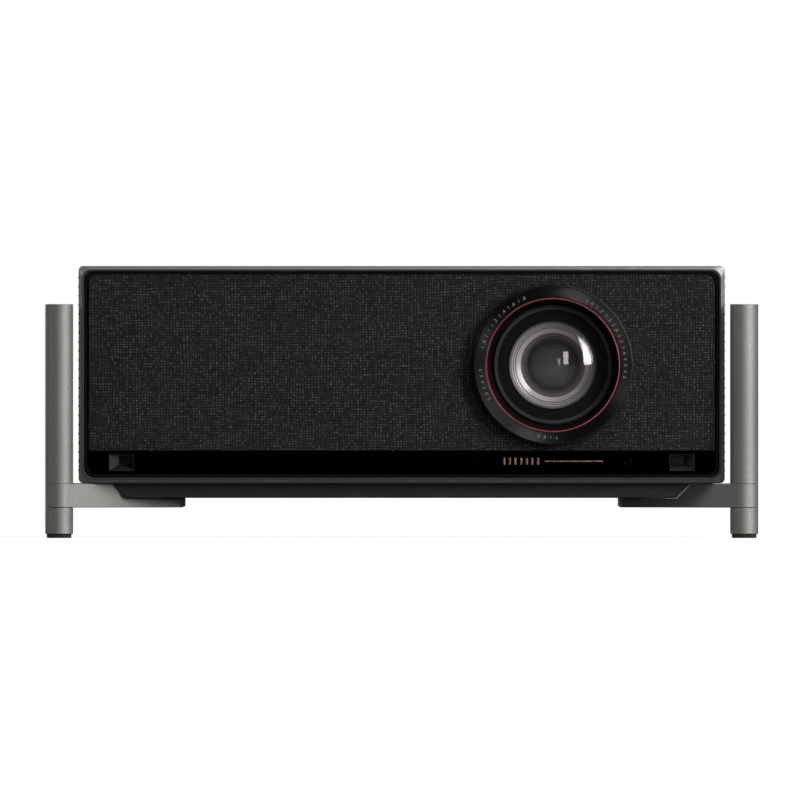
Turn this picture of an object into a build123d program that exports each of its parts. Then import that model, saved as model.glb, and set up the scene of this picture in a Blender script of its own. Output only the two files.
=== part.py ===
"""Home projector: a wide box on four corner posts, with a large zoom lens right of centre.

Frame: +Z up, +X to the right seen from the front, and the lens looks along -Y.
Origin: the centre of the footprint, on the surface that the feet stand on. Millimetres.
"""

from build123d import *
from math import acos, atan, cos, degrees, pi, radians, sin, sqrt, tan
import os

os.makedirs("parts", exist_ok=True)

# ---------------------------------------------------------------- driving dimensions
OVERALL_W = 430.0  # over the front posts
OVERALL_H = 164.0
BODY_D = 310.0  # from the lens ring to the rear edge, less than over the posts

# Shell: a tube along Y, open at the front and the back.
SHELL_HALF_W = 194.8
SHELL_BOTTOM = 33.1
SHELL_FRONT, SHELL_BACK = -150.0, BODY_D / 2
SHELL_CORNER_R = 2.8
WALL = 3.2
BEVEL_W, BEVEL_D, BEVEL_CORNER_R = 2.1, 2.4, 6.0
REAR_EDGE = 0.6
FIT = 0.1  # gap left round a fitted piece

# Front window: cloth above, glossy sensor strip below.
WINDOW_HALF_W = 188.9
WINDOW_TOP, STRIP_TOP, WINDOW_BOTTOM = 159.0, 52.5, 38.7
WINDOW_CORNER_R = 5.0
CLOTH_FRONT, CLOTH_T = -148.8, 0.8
CARRIER_T = 3.0

# Corner posts, their arms and the screw feet.
POST_R = 8.5
REAR_SPLAY = 2.75  # the rear posts stand this much further out than the front ones
POST_X = {"front": OVERALL_W / 2 - POST_R, "rear": OVERALL_W / 2 - POST_R + REAR_SPLAY}
POST_TOP = 141.0
POST_Y = {"front": -152.0, "rear": 152.0}
POST_BORE_R = 5.0
ARM_BOTTOM, ARM_TOP, ARM_TONGUE_TOP = 18.3, 32.5, 23.6
ARM_SLOPE_TOP_X = 175.2
ARM_ANGLE = 38.0  # plan angle between an arm and the X axis
ARM_SCREW_X = 131.7 + POST_R
SPIGOT_R, SPIGOT_H = 6.4, 7.0
SEAM = 0.3  # chamfer that draws the line between stacked cylinders
STUD_R, STUD_TOP = 4.0, 46.0
KNOB_BOTTOM, KNOB_TOP = 2.4, 18.1
PAD_R, PAD_H = 7.5, 2.3
PIVOT_R, PIVOT_H = 2.0, 5.5
RUNNING = 0.05  # radial clearance of a running fit

# Base pan, hung in the shell's bottom opening.
PAN_BOTTOM, PAN_RIM_BOTTOM, PAN_RIM_TOP = 24.1, 32.6, 36.0
PAN_RIM_HALF_W = 187.3
PAN_RIM_FRONT, PAN_RIM_BACK = -141.0, 146.0
PAN_TRAY_FRONT, PAN_TRAY_BACK = -136.0, 141.0
PAN_FLOOR_HALF_W, PAN_SLOPE_HALF_W = 165.4, 173.9
PAN_FLOOR_T, PAN_EDGE_R = 2.5, 0.8
CEILING_HOLES_X, CEILING_HOLES_Y, CEILING_HOLE_R = 150.0, 100.0, 2.0
TRIPOD_HOLE_R, TRIPOD_Y = 3.175, 2.5

# Side grilles.
RIB_COUNT, RIB_PITCH, RIB_FIRST_Z = 22, 5.54, 40.8
RIB_H, RIB_PROUD = 2.4, 0.65
GRILLE_FRONT, GRILLE_BACK = -125.0, 130.0
GRILLE_BOTTOM, GRILLE_TOP = 38.0, 160.0
GRILLE_T = 3.0

# Lens, measured from its own axis. Radii, then stations along Y.
LENS_X, LENS_Z = 91.2, 104.3
TRIM_R, TRIM_BORE_R = 48.4, 40.7
RED_RING_R, RED_RING_BORE_R = 40.55, 39.2
CELL_R, CELL_LIP_BORE_R, GLASS_R = 35.6, 33.5, 26.2
BARREL_BORE_R, BARREL_R = 35.7, 38.4
LENS_FRONT = -BODY_D / 2
RED_RING_FRONT, RED_RING_BACK = -154.4, -152.8
HOOD_BACK, BARREL_BACK = -143.1, -50.0
CELL_FRONT, CELL_BACK = -146.0, -116.0
FOCUS_TRAVEL, ZOOM_TRAVEL = 3.0, 6.0

# Ring gears and their pinions.
GEAR_MODULE, RING_TEETH, PINION_TEETH = 0.8, 104, 18
PRESSURE_ANGLE = radians(20)
TOOTH_THINNING = 0.10
SECTOR_TEETH = 40
FOCUS_GEAR_Y, ZOOM_GEAR_Y, GEAR_W = -112.0, -84.0, 8.0
PINION_EXTRA_W = 2.0
PINION_SHAFT_R = 1.0
MOTOR_R, MOTOR_FRONT_GAP = 7.5, 3.0

# Fans.
FAN_SIZE, FAN_T, FAN_Y, FAN_Z = 92.0, 25.0, 66.0, 100.0
FAN_BLADES, FAN_TIP_R, FAN_HUB_R = 7, 42.0, 18.0

# Legs that stand on the pan's floor and carry what is inside.
LEG_W = 8.0
FLOOR_Z = PAN_BOTTOM + PAN_FLOOR_T
STANDING = (Align.CENTER, Align.CENTER, Align.MIN)

CORNERS = [(side, end) for end in ("front", "rear") for side in ("left", "right")]
SIDE_SIGN = {"left": -1, "right": 1}
END_SIGN = {"front": -1, "rear": 1}

LENS_AXIS = Axis((LENS_X, 0, LENS_Z), (0, 1, 0))
# Local x is the radius, towards +X, and local y is the row's Y.
LENS_SECTION = Plane(origin=(LENS_X, 0, LENS_Z), x_dir=(1, 0, 0), z_dir=(0, 0, 1))


def write(piece, name):
    """Labels a finished piece and writes it as parts/NAME.step."""
    piece.part.label = name
    export_step(piece.part, f"parts/{name}.step")


def facing_front(y):
    """A plane at Y = y whose normal points to the front, with local x = X and local y = Z."""
    return Plane.XZ.offset(-y)


def turned(section, axis=LENS_AXIS, plane=LENS_SECTION):
    """Revolve a closed outline drawn on a plane through the axis."""
    with BuildSketch(plane) as outline:
        with BuildLine():
            Polyline(*section, close=True)
        make_face()
    revolve(outline.sketch, axis=axis)


def tube(r_out, r_in, y_front, y_back):
    """The four corners of a plain ring's section."""
    return [(r_in, y_front), (r_out, y_front), (r_out, y_back), (r_in, y_back)]


# ---------------------------------------------------------------- shell and base
shell_mid_z = (SHELL_BOTTOM + OVERALL_H) / 2
shell_h = OVERALL_H - SHELL_BOTTOM
bevel_back = SHELL_FRONT + BEVEL_D
grille_mid_y = (GRILLE_FRONT + GRILLE_BACK) / 2
grille_mid_z = (GRILLE_BOTTOM + GRILLE_TOP) / 2

with BuildPart() as outer_shell:
    with BuildSketch(facing_front(SHELL_BACK)):
        with Locations((0, shell_mid_z)):
            RectangleRounded(2 * SHELL_HALF_W, shell_h, SHELL_CORNER_R)
    extrude(amount=SHELL_BACK - bevel_back)
    # The front bevel grows from the small outer corner to a wider inner one.
    with BuildSketch(facing_front(bevel_back)):
        with Locations((0, shell_mid_z)):
            RectangleRounded(2 * SHELL_HALF_W, shell_h, SHELL_CORNER_R)
    with BuildSketch(facing_front(SHELL_FRONT)):
        with Locations((0, shell_mid_z)):
            RectangleRounded(
                2 * (SHELL_HALF_W - BEVEL_W), shell_h - 2 * BEVEL_W, BEVEL_CORNER_R
            )
    loft()
    chamfer(outer_shell.faces().sort_by(Axis.Y)[-1].edges(), REAR_EDGE)
    with BuildSketch(facing_front(SHELL_BACK)):
        with Locations((0, shell_mid_z)):
            RectangleRounded(2 * (SHELL_HALF_W - WALL), shell_h - 2 * WALL, BEVEL_CORNER_R)
    extrude(amount=SHELL_BACK - SHELL_FRONT, mode=Mode.SUBTRACT)
    with Locations((0, grille_mid_y, grille_mid_z)):
        Box(
            2 * SHELL_HALF_W + 2,
            GRILLE_BACK - GRILLE_FRONT,
            GRILLE_TOP - GRILLE_BOTTOM,
            mode=Mode.SUBTRACT,
        )
    with Locations((0, (PAN_RIM_FRONT + PAN_RIM_BACK) / 2, SHELL_BOTTOM + WALL / 2)):
        Box(
            2 * (PAN_RIM_HALF_W + FIT),
            PAN_RIM_BACK - PAN_RIM_FRONT + 2 * FIT,
            WALL + 1,
            mode=Mode.SUBTRACT,
        )
write(outer_shell, "outer_shell")

pan_mid_y = (PAN_TRAY_FRONT + PAN_TRAY_BACK) / 2
arm_run = {end: POST_X[end] - ARM_SCREW_X for end in POST_X}
arm_screw_y = {
    end: POST_Y[end] - END_SIGN[end] * arm_run[end] * tan(radians(ARM_ANGLE)) for end in POST_Y
}
arm_screw_spots = [(sx * ARM_SCREW_X, arm_screw_y[end]) for sx in (-1, 1) for end in POST_Y]
ceiling_spots = [
    (sx * CEILING_HOLES_X / 2, pan_mid_y + sy * CEILING_HOLES_Y / 2)
    for sx in (-1, 1)
    for sy in (-1, 1)
]
BOSS_R, BOSS_TOP, BOSS_HOLE_DEPTH = 7.0, 40.0, 12.0
ARM_SCREW_HOLE_R = 2.6
INSERT_R, INSERT_H = 3.6, 9.0
TRIPOD_BOSS_R, TRIPOD_INSERT_R = 9.0, 5.6
VENT_ROWS, VENT_COLUMNS, VENT_LENGTH, VENT_W, VENT_PITCH = 9, 2, 62.0, 2.6, 6.0
VENT_X, VENT_Y = 80.0, -92.0

with BuildPart() as base_pan:
    with BuildSketch(facing_front(PAN_TRAY_BACK)):
        with BuildLine():
            Polyline(
                (-PAN_FLOOR_HALF_W, PAN_BOTTOM),
                (PAN_FLOOR_HALF_W, PAN_BOTTOM),
                (PAN_SLOPE_HALF_W, PAN_RIM_BOTTOM),
                (-PAN_SLOPE_HALF_W, PAN_RIM_BOTTOM),
                close=True,
            )
        make_face()
    extrude(amount=PAN_TRAY_BACK - PAN_TRAY_FRONT)
    fillet(base_pan.faces().sort_by(Axis.Z)[0].edges(), PAN_EDGE_R)
    with Locations((0, (PAN_RIM_FRONT + PAN_RIM_BACK) / 2, PAN_RIM_BOTTOM)):
        Box(
            2 * PAN_RIM_HALF_W,
            PAN_RIM_BACK - PAN_RIM_FRONT,
            PAN_RIM_TOP - PAN_RIM_BOTTOM,
            align=STANDING,
        )
    with Locations((0, pan_mid_y, PAN_BOTTOM + PAN_FLOOR_T)):
        Box(
            2 * (PAN_FLOOR_HALF_W - 4),
            PAN_TRAY_BACK - PAN_TRAY_FRONT - 8,
            PAN_RIM_TOP,
            align=STANDING,
            mode=Mode.SUBTRACT,
        )
    with BuildSketch(Plane.XY.offset(PAN_BOTTOM)):
        with Locations(*arm_screw_spots, *ceiling_spots):
            Circle(BOSS_R)
        with Locations((0, TRIPOD_Y)):
            Circle(TRIPOD_BOSS_R)
    extrude(amount=BOSS_TOP - PAN_BOTTOM)
    with BuildSketch(Plane.XY.offset(PAN_BOTTOM)):
        with Locations(*arm_screw_spots):
            Circle(ARM_SCREW_HOLE_R)
    extrude(amount=BOSS_HOLE_DEPTH, mode=Mode.SUBTRACT)
    with BuildSketch(Plane.XY.offset(PAN_BOTTOM)):
        with Locations(*ceiling_spots):
            Circle(INSERT_R)
        with Locations((0, TRIPOD_Y)):
            Circle(TRIPOD_INSERT_R)
    extrude(amount=INSERT_H, mode=Mode.SUBTRACT)
    # Air inlets: two banks of slots through the floor, ahead of the bosses.
    with BuildSketch(Plane.XY.offset(PAN_BOTTOM)):
        for side in (-1, 1):
            with Locations((side * VENT_X / 2, VENT_Y)):
                with GridLocations(0, VENT_PITCH, 1, VENT_ROWS):
                    SlotOverall(VENT_LENGTH, VENT_W)
    extrude(amount=PAN_FLOOR_T, mode=Mode.SUBTRACT)
write(base_pan, "base_pan")

with BuildPart() as mount_inserts:
    with BuildSketch(Plane.XY.offset(PAN_BOTTOM)):
        with Locations(*ceiling_spots):
            Circle(INSERT_R)
            Circle(CEILING_HOLE_R, mode=Mode.SUBTRACT)
        with Locations((0, TRIPOD_Y)):
            Circle(TRIPOD_INSERT_R)
            Circle(TRIPOD_HOLE_R, mode=Mode.SUBTRACT)
    extrude(amount=INSERT_H)
write(mount_inserts, "mount_inserts")

RIB_ROUND_R = 0.55
SLOT_END_MARGIN = 4.0
STIFFENER_T, STIFFENER_W, STIFFENER_PITCH, STIFFENER_COUNT = 1.2, 3.0, 36.0, 7

grille_length = GRILLE_BACK - GRILLE_FRONT - 2 * FIT
grille_outer_x = SHELL_HALF_W - 0.2
rib_heights = [RIB_FIRST_Z + row * RIB_PITCH for row in range(RIB_COUNT)]
for side, sign in SIDE_SIGN.items():
    with BuildPart() as side_grille:
        plate_x = grille_outer_x - GRILLE_T / 2
        with Locations((sign * plate_x, grille_mid_y, grille_mid_z)):
            Box(GRILLE_T, grille_length, GRILLE_TOP - GRILLE_BOTTOM - 2 * FIT)
        slots_z = [z + RIB_PITCH / 2 for z in rib_heights[:-1]]
        with Locations(*[(sign * plate_x, grille_mid_y, z) for z in slots_z]):
            Box(
                GRILLE_T + 2,
                grille_length - 2 * SLOT_END_MARGIN,
                RIB_PITCH - RIB_H,
                mode=Mode.SUBTRACT,
            )
        # Upright stiffeners join the ribs at the back of the plate.
        stiffener_x = grille_outer_x - GRILLE_T + STIFFENER_T / 2
        with Locations((sign * stiffener_x, grille_mid_y, grille_mid_z)):
            with GridLocations(0, STIFFENER_PITCH, 1, STIFFENER_COUNT):
                Box(STIFFENER_T, STIFFENER_W, GRILLE_TOP - GRILLE_BOTTOM - 6)
        # Rounded noses stand proud of the shell.
        nose_x = SHELL_HALF_W + RIB_PROUD - RIB_ROUND_R
        with BuildSketch(facing_front(grille_mid_y + grille_length / 2 - SLOT_END_MARGIN)):
            with Locations(*[(sign * nose_x, z) for z in rib_heights]):
                Circle(RIB_ROUND_R)
            with Locations(*[(sign * (nose_x - 0.4), z) for z in rib_heights]):
                Rectangle(0.8, 2 * RIB_ROUND_R)
        extrude(amount=grille_length - 2 * SLOT_END_MARGIN)
    write(side_grille, f"side_grille_{side}")

# ---------------------------------------------------------------- posts, arms and feet
SCREW_HEAD_R, SCREW_HEAD_H, SCREW_R, SCREW_TOP = 4.6, 2.6, 2.5, 34.0
SOCKET_HEX_R, SOCKET_DEPTH = 1.7, 1.6
SPACER_R = 5.8

for side, end in CORNERS:
    corner = f"{end}_{side}"
    post_x, post_y = SIDE_SIGN[side] * POST_X[end], POST_Y[end]
    screw_x, screw_y = SIDE_SIGN[side] * ARM_SCREW_X, arm_screw_y[end]

    with BuildPart() as arm:
        with BuildSketch(Plane.XY.offset(ARM_BOTTOM)):
            with Locations(((post_x + screw_x) / 2, (post_y + screw_y) / 2)):
                SlotCenterToCenter(
                    sqrt((post_x - screw_x) ** 2 + (post_y - screw_y) ** 2),
                    2 * POST_R,
                    rotation=degrees(atan((screw_y - post_y) / (screw_x - post_x))),
                )
        extrude(amount=ARM_TOP - ARM_BOTTOM)
        # Seen from the front it is a hook: full height at the post, a thin tongue inboard.
        slope_run = ARM_TOP - ARM_TONGUE_TOP
        inboard_x = ARM_SCREW_X - 2 * POST_R
        with BuildSketch(facing_front(SHELL_BACK)):
            with BuildLine():
                Polyline(
                    (SIDE_SIGN[side] * inboard_x, ARM_TONGUE_TOP),
                    (SIDE_SIGN[side] * (ARM_SLOPE_TOP_X - slope_run), ARM_TONGUE_TOP),
                    (SIDE_SIGN[side] * ARM_SLOPE_TOP_X, ARM_TOP),
                    (SIDE_SIGN[side] * inboard_x, ARM_TOP),
                    close=True,
                )
            make_face()
        extrude(amount=BODY_D, mode=Mode.SUBTRACT)
        chamfer(arm.edges().filter_by(Plane.XY).group_by(Axis.Z)[0], SEAM)
        with Locations((post_x, post_y, ARM_TOP)):
            Cylinder(SPIGOT_R, SPIGOT_H, align=STANDING)
        with Locations((post_x, post_y, ARM_BOTTOM)):
            Cylinder(
                STUD_R + RUNNING,
                ARM_TOP + SPIGOT_H - ARM_BOTTOM,
                align=STANDING,
                mode=Mode.SUBTRACT,
            )
        with Locations(Plane((screw_x, screw_y, ARM_BOTTOM), z_dir=(0, 0, -1))):
            CounterBoreHole(ARM_SCREW_HOLE_R, SCREW_HEAD_R + 0.2, SCREW_HEAD_H + 0.2)
    write(arm, f"arm_{corner}")

    with BuildPart() as post:
        with BuildSketch(Plane.XY.offset(ARM_TOP + RUNNING)):
            with Locations((post_x, post_y)):
                Circle(POST_R)
        extrude(amount=POST_TOP - ARM_TOP - RUNNING)
        chamfer(post.edges().filter_by(GeomType.CIRCLE), SEAM)
        with Locations((post_x, post_y, ARM_TOP)):
            Cylinder(
                POST_BORE_R,
                POST_TOP - ARM_TOP - POST_R,
                align=STANDING,
                mode=Mode.SUBTRACT,
            )
            Cylinder(
                SPIGOT_R + RUNNING / 2,
                SPIGOT_H + 0.5,
                align=STANDING,
                mode=Mode.SUBTRACT,
            )
    write(post, f"post_{corner}")

    with BuildPart() as foot_knob:
        with BuildSketch(Plane.XY.offset(KNOB_BOTTOM)):
            with Locations((post_x, post_y)):
                Circle(POST_R)
        extrude(amount=KNOB_TOP - KNOB_BOTTOM)
        chamfer(foot_knob.edges().filter_by(GeomType.CIRCLE), SEAM)
        with Locations((post_x, post_y, KNOB_TOP)):
            Cylinder(STUD_R, STUD_TOP - KNOB_TOP, align=STANDING)
        with Locations((post_x, post_y, KNOB_BOTTOM)):
            Cylinder(
                PIVOT_R + RUNNING,
                PIVOT_H + 0.5,
                align=STANDING,
                mode=Mode.SUBTRACT,
            )
    write(foot_knob, f"foot_knob_{corner}")

    with BuildPart() as foot_pad:
        with BuildSketch(Plane.XY):
            with Locations((post_x, post_y)):
                Circle(PAD_R)
        extrude(amount=PAD_H)
        fillet(foot_pad.edges().filter_by(GeomType.CIRCLE).group_by(Axis.Z)[0], 0.7)
        with Locations((post_x, post_y, PAD_H)):
            Cylinder(PIVOT_R, PIVOT_H, align=STANDING)
    write(foot_pad, f"foot_pad_{corner}")

with BuildPart() as arm_screws:
    with Locations(*[(x, y, ARM_BOTTOM + 0.2) for x, y in arm_screw_spots]):
        Cylinder(SCREW_HEAD_R, SCREW_HEAD_H, align=STANDING)
        Cylinder(
            SCREW_R,
            SCREW_TOP - ARM_BOTTOM,
            align=STANDING,
        )
    with BuildSketch(Plane.XY.offset(ARM_BOTTOM + 0.2)):
        with Locations(*arm_screw_spots):
            RegularPolygon(SOCKET_HEX_R, 6)
    extrude(amount=SOCKET_DEPTH, mode=Mode.SUBTRACT)
write(arm_screws, "arm_screws")

with BuildPart() as arm_spacers:
    with BuildSketch(Plane.XY.offset(ARM_TONGUE_TOP)):
        with Locations(*arm_screw_spots):
            Circle(SPACER_R)
            Circle(ARM_SCREW_HOLE_R, mode=Mode.SUBTRACT)
    extrude(amount=PAN_BOTTOM - ARM_TONGUE_TOP)
write(arm_spacers, "arm_spacers")

# ---------------------------------------------------------------- front frame, cloth and sensor strip
window_mid_z = (WINDOW_TOP + WINDOW_BOTTOM) / 2
window_h = WINDOW_TOP - WINDOW_BOTTOM
FRAME_FRONT, FRAME_BACK = SHELL_FRONT + 0.7, -132.0
FRAME_LIP_INSET = 1.9  # from the frame's outside to the lip's inner edge
CHANNEL_FLOOR = -146.4
PANEL_SEAT, PANEL_LEDGE = -144.9, 1.3

frame_w = 2 * (SHELL_HALF_W - WALL - FIT)
frame_h = shell_h - 2 * (WALL + FIT)
with BuildPart() as front_frame:
    with BuildSketch(facing_front(FRAME_BACK)):
        with Locations((0, shell_mid_z)):
            RectangleRounded(frame_w, frame_h, BEVEL_CORNER_R)
    extrude(amount=FRAME_BACK - FRAME_FRONT)
    # The lip, then the channel round the cloth, then the opening behind the panels.
    with BuildSketch(facing_front(CHANNEL_FLOOR)):
        with Locations((0, shell_mid_z)):
            RectangleRounded(
                frame_w - 2 * FRAME_LIP_INSET, frame_h - 2 * FRAME_LIP_INSET, BEVEL_CORNER_R
            )
    extrude(amount=CHANNEL_FLOOR - SHELL_FRONT, mode=Mode.SUBTRACT)
    with BuildSketch(facing_front(PANEL_SEAT)):
        with Locations((0, window_mid_z)):
            RectangleRounded(
                2 * (WINDOW_HALF_W + FIT), window_h + 2 * FIT, WINDOW_CORNER_R
            )
    extrude(amount=PANEL_SEAT - SHELL_FRONT, mode=Mode.SUBTRACT)
    with BuildSketch(facing_front(FRAME_BACK)):
        with Locations((0, window_mid_z)):
            RectangleRounded(
                2 * (WINDOW_HALF_W - PANEL_LEDGE), window_h - 2 * PANEL_LEDGE, WINDOW_CORNER_R
            )
    extrude(amount=FRAME_BACK - SHELL_FRONT, mode=Mode.SUBTRACT)
write(front_frame, "front_frame")

panel_gap = 0.15
cloth_h = WINDOW_TOP - STRIP_TOP - panel_gap
cloth_mid_z = (WINDOW_TOP + STRIP_TOP + panel_gap) / 2
DRIVER_X, DRIVER_Z, DRIVER_R = (-136.0, -52.0), 104.0, 34.0
AIR_SLOT_X, AIR_SLOT_W, AIR_SLOT_H, AIR_SLOT_PITCH, AIR_SLOT_COUNT = 163.0, 40.0, 4.0, 8.0, 10

with BuildPart() as speaker_cloth:
    with BuildSketch(facing_front(CLOTH_FRONT + CLOTH_T)):
        with Locations((0, cloth_mid_z)):
            Rectangle(2 * WINDOW_HALF_W, cloth_h)
        fillet(vertices().group_by(Axis.Y)[-1], WINDOW_CORNER_R)
        with Locations((LENS_X, LENS_Z)):
            Circle(TRIM_BORE_R + 1, mode=Mode.SUBTRACT)
    extrude(amount=CLOTH_T)
write(speaker_cloth, "speaker_cloth")

with BuildPart() as cloth_carrier:
    with BuildSketch(facing_front(CLOTH_FRONT + CLOTH_T + CARRIER_T)):
        with Locations((0, cloth_mid_z)):
            Rectangle(2 * WINDOW_HALF_W, cloth_h)
        fillet(vertices().group_by(Axis.Y)[-1], WINDOW_CORNER_R)
        with Locations((LENS_X, LENS_Z)):
            Circle(TRIM_BORE_R + 1, mode=Mode.SUBTRACT)
        with Locations(*[(x, DRIVER_Z) for x in DRIVER_X]):
            Circle(DRIVER_R - 2, mode=Mode.SUBTRACT)
        with Locations((AIR_SLOT_X, cloth_mid_z)):
            with GridLocations(0, AIR_SLOT_PITCH, 1, AIR_SLOT_COUNT):
                SlotOverall(AIR_SLOT_W, AIR_SLOT_H, mode=Mode.SUBTRACT)
    extrude(amount=CARRIER_T)
write(cloth_carrier, "cloth_carrier")

# Sensor strip: each rectangular pocket is mirrored about the body's middle.
POCKET_X, POCKET_Z, POCKET_W, POCKET_H = 169.1, 45.5, 15.0, 10.2
PORT_X, PORT_Z, PORT_W, PORT_H = 166.2, 47.2, 8.8, 5.8
POCKET_DEPTH, FUNNEL_T = 4.2, 5.4
DOT_OFFSET_X, DOT_Z, DOT_R = 45.2, 46.4, 2.4
STRIP_FRONT, STRIP_T = CLOTH_FRONT + 0.1, 3.6
INLAY_Z, INLAY_T, INLAY_H = 46.3, 0.12, 4.2
INLAY_BAR_W, INLAY_BAR_PITCH, INLAY_BAR_COUNT = 1.3, 3.4, 7
INLAY_START_X, INLAY_END_X, INLAY_LINE_H = LENS_X - 30.0, LENS_X + 30.0, 0.9

strip_mid_z = (STRIP_TOP + WINDOW_BOTTOM) / 2
dot_spots = [(LENS_X + sign * DOT_OFFSET_X, DOT_Z) for sign in (-1, 1)]
with BuildPart() as sensor_window:
    with BuildSketch(facing_front(STRIP_FRONT + STRIP_T)):
        with Locations((0, strip_mid_z)):
            Rectangle(2 * WINDOW_HALF_W, STRIP_TOP - WINDOW_BOTTOM)
        fillet(vertices().group_by(Axis.Y)[0], WINDOW_CORNER_R)
        with Locations((-POCKET_X, POCKET_Z), (POCKET_X, POCKET_Z)):
            Rectangle(POCKET_W + 2 * FIT, POCKET_H + 2 * FIT, mode=Mode.SUBTRACT)
        with Locations(*dot_spots):
            Circle(DOT_R + FIT, mode=Mode.SUBTRACT)
    extrude(amount=STRIP_T)
write(sensor_window, "sensor_window")

with BuildPart() as sensor_funnels:
    for sign in (-1, 1):
        with BuildSketch(facing_front(STRIP_FRONT + FUNNEL_T)):
            with Locations((sign * POCKET_X, POCKET_Z)):
                Rectangle(POCKET_W, POCKET_H)
        extrude(amount=FUNNEL_T - 0.1)
    for sign in (-1, 1):
        with BuildSketch(facing_front(STRIP_FRONT)):
            with Locations((sign * POCKET_X, POCKET_Z)):
                Rectangle(POCKET_W - 0.6, POCKET_H - 0.6)
        with BuildSketch(facing_front(STRIP_FRONT + POCKET_DEPTH)):
            with Locations((sign * PORT_X, PORT_Z)):
                Rectangle(PORT_W, PORT_H)
        loft(mode=Mode.SUBTRACT)
        with BuildSketch(facing_front(STRIP_FRONT + FUNNEL_T)):
            with Locations((sign * PORT_X, PORT_Z)):
                Rectangle(PORT_W, PORT_H)
        extrude(amount=FUNNEL_T - POCKET_DEPTH + FIT, mode=Mode.SUBTRACT)
write(sensor_funnels, "sensor_funnels")

MODULE_W, MODULE_H, MODULE_T = 14.0, 9.0, 4.0
EYE_PITCH, EYE_W, EYE_H, EYE_T = 3.0, 2.1, 2.4, 0.5
with BuildPart() as sensor_modules:
    for sign in (-1, 1):
        with BuildSketch(facing_front(STRIP_FRONT + FUNNEL_T + MODULE_T)):
            with Locations((sign * PORT_X, PORT_Z)):
                Rectangle(MODULE_W, MODULE_H)
        extrude(amount=MODULE_T - FIT)
        with BuildSketch(facing_front(STRIP_FRONT + FUNNEL_T + 2 * FIT)):
            with Locations((sign * PORT_X, PORT_Z)):
                with GridLocations(EYE_PITCH, 0, 2, 1):
                    Rectangle(EYE_W, EYE_H)
        extrude(amount=EYE_T)
write(sensor_modules, "sensor_modules")

with BuildPart() as indicator_lenses:
    with BuildSketch(facing_front(STRIP_FRONT + STRIP_T)):
        with Locations(*dot_spots):
            Circle(DOT_R)
    extrude(amount=STRIP_T - 0.3)
    with BuildSketch(facing_front(STRIP_FRONT + 1.2)):
        with Locations(*dot_spots):
            Circle(DOT_R - 0.9)
    extrude(amount=2, mode=Mode.SUBTRACT)
write(indicator_lenses, "indicator_lenses")

bar_span = INLAY_BAR_PITCH * (INLAY_BAR_COUNT - 1) + INLAY_BAR_W
line_length = INLAY_END_X - INLAY_START_X - bar_span - INLAY_BAR_PITCH
with BuildPart() as front_inlay:
    with BuildSketch(facing_front(STRIP_FRONT)):
        for bar in range(INLAY_BAR_COUNT):
            with Locations((INLAY_START_X + INLAY_BAR_W / 2 + bar * INLAY_BAR_PITCH, INLAY_Z)):
                Rectangle(INLAY_BAR_W, INLAY_H)
        with Locations((INLAY_END_X - line_length / 2, INLAY_Z)):
            Rectangle(line_length, INLAY_LINE_H)
    extrude(amount=INLAY_T)
write(front_inlay, "front_inlay")

# ---------------------------------------------------------------- lens
TRIM_CHAMFER = 0.8
TRIM_BACK = CLOTH_FRONT
HOOD_MOUTH_R, HOOD_THROAT_R = 39.0, 36.3
CELL_FLOOR, CELL_SEAT, CELL_BORE_R = -144.4, -137.0, 32.6
GLASS_EDGE_FRONT, GLASS_APEX = -142.0, -149.6
GLASS_EDGE_BACK, GLASS_BACK_APEX = -136.0, -140.5
BAFFLE_FRONT, BAFFLE_BACK = -135.5, -122.3
# The baffle's bore from front to back: a narrow bevelled lip, a wide one, then plain steps.
BAFFLE_BORE = (
    (22.7, -135.5),
    (21.5, -134.7),
    (21.5, -133.4),
    (20.5, -133.4),
    (17.7, -131.6),
    (17.7, -130.0),
    (15.6, -130.0),
    (15.6, -127.4),
    (13.6, -127.4),
    (13.6, -122.3),
)
INNER_R, INNER_EDGE_FRONT, INNER_EDGE_BACK, INNER_APEX = 13.5, -124.4, -122.4, -130.7


def dome(radius, edge_y, apex_y):
    """Three points of a spherical face's section: on the axis, halfway out, and at its edge."""
    sag = abs(edge_y - apex_y)
    sphere_r = (radius**2 + sag**2) / (2 * sag)
    half_sag = sphere_r - sqrt(sphere_r**2 - (radius / 2) ** 2)
    toward_edge = 1 if edge_y > apex_y else -1
    return [(0, apex_y), (radius / 2, apex_y + toward_edge * half_sag), (radius, edge_y)]


with BuildPart() as lens_trim_ring:
    turned(
        [
            (TRIM_BORE_R, LENS_FRONT),
            (TRIM_R - TRIM_CHAMFER, LENS_FRONT),
            (TRIM_R, LENS_FRONT + TRIM_CHAMFER),
            (TRIM_R, TRIM_BACK),
            (TRIM_BORE_R, TRIM_BACK),
        ]
    )
write(lens_trim_ring, "lens_trim_ring")

with BuildPart() as lens_red_ring:
    turned(tube(RED_RING_R, RED_RING_BORE_R, RED_RING_FRONT, RED_RING_BACK))
write(lens_red_ring, "lens_red_ring")

with BuildPart() as lens_hood:
    turned(
        [
            (HOOD_MOUTH_R, RED_RING_BACK),
            (RED_RING_R, RED_RING_BACK),
            (RED_RING_R, HOOD_BACK),
            (HOOD_THROAT_R, HOOD_BACK),
        ]
    )
write(lens_hood, "lens_hood")

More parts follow.
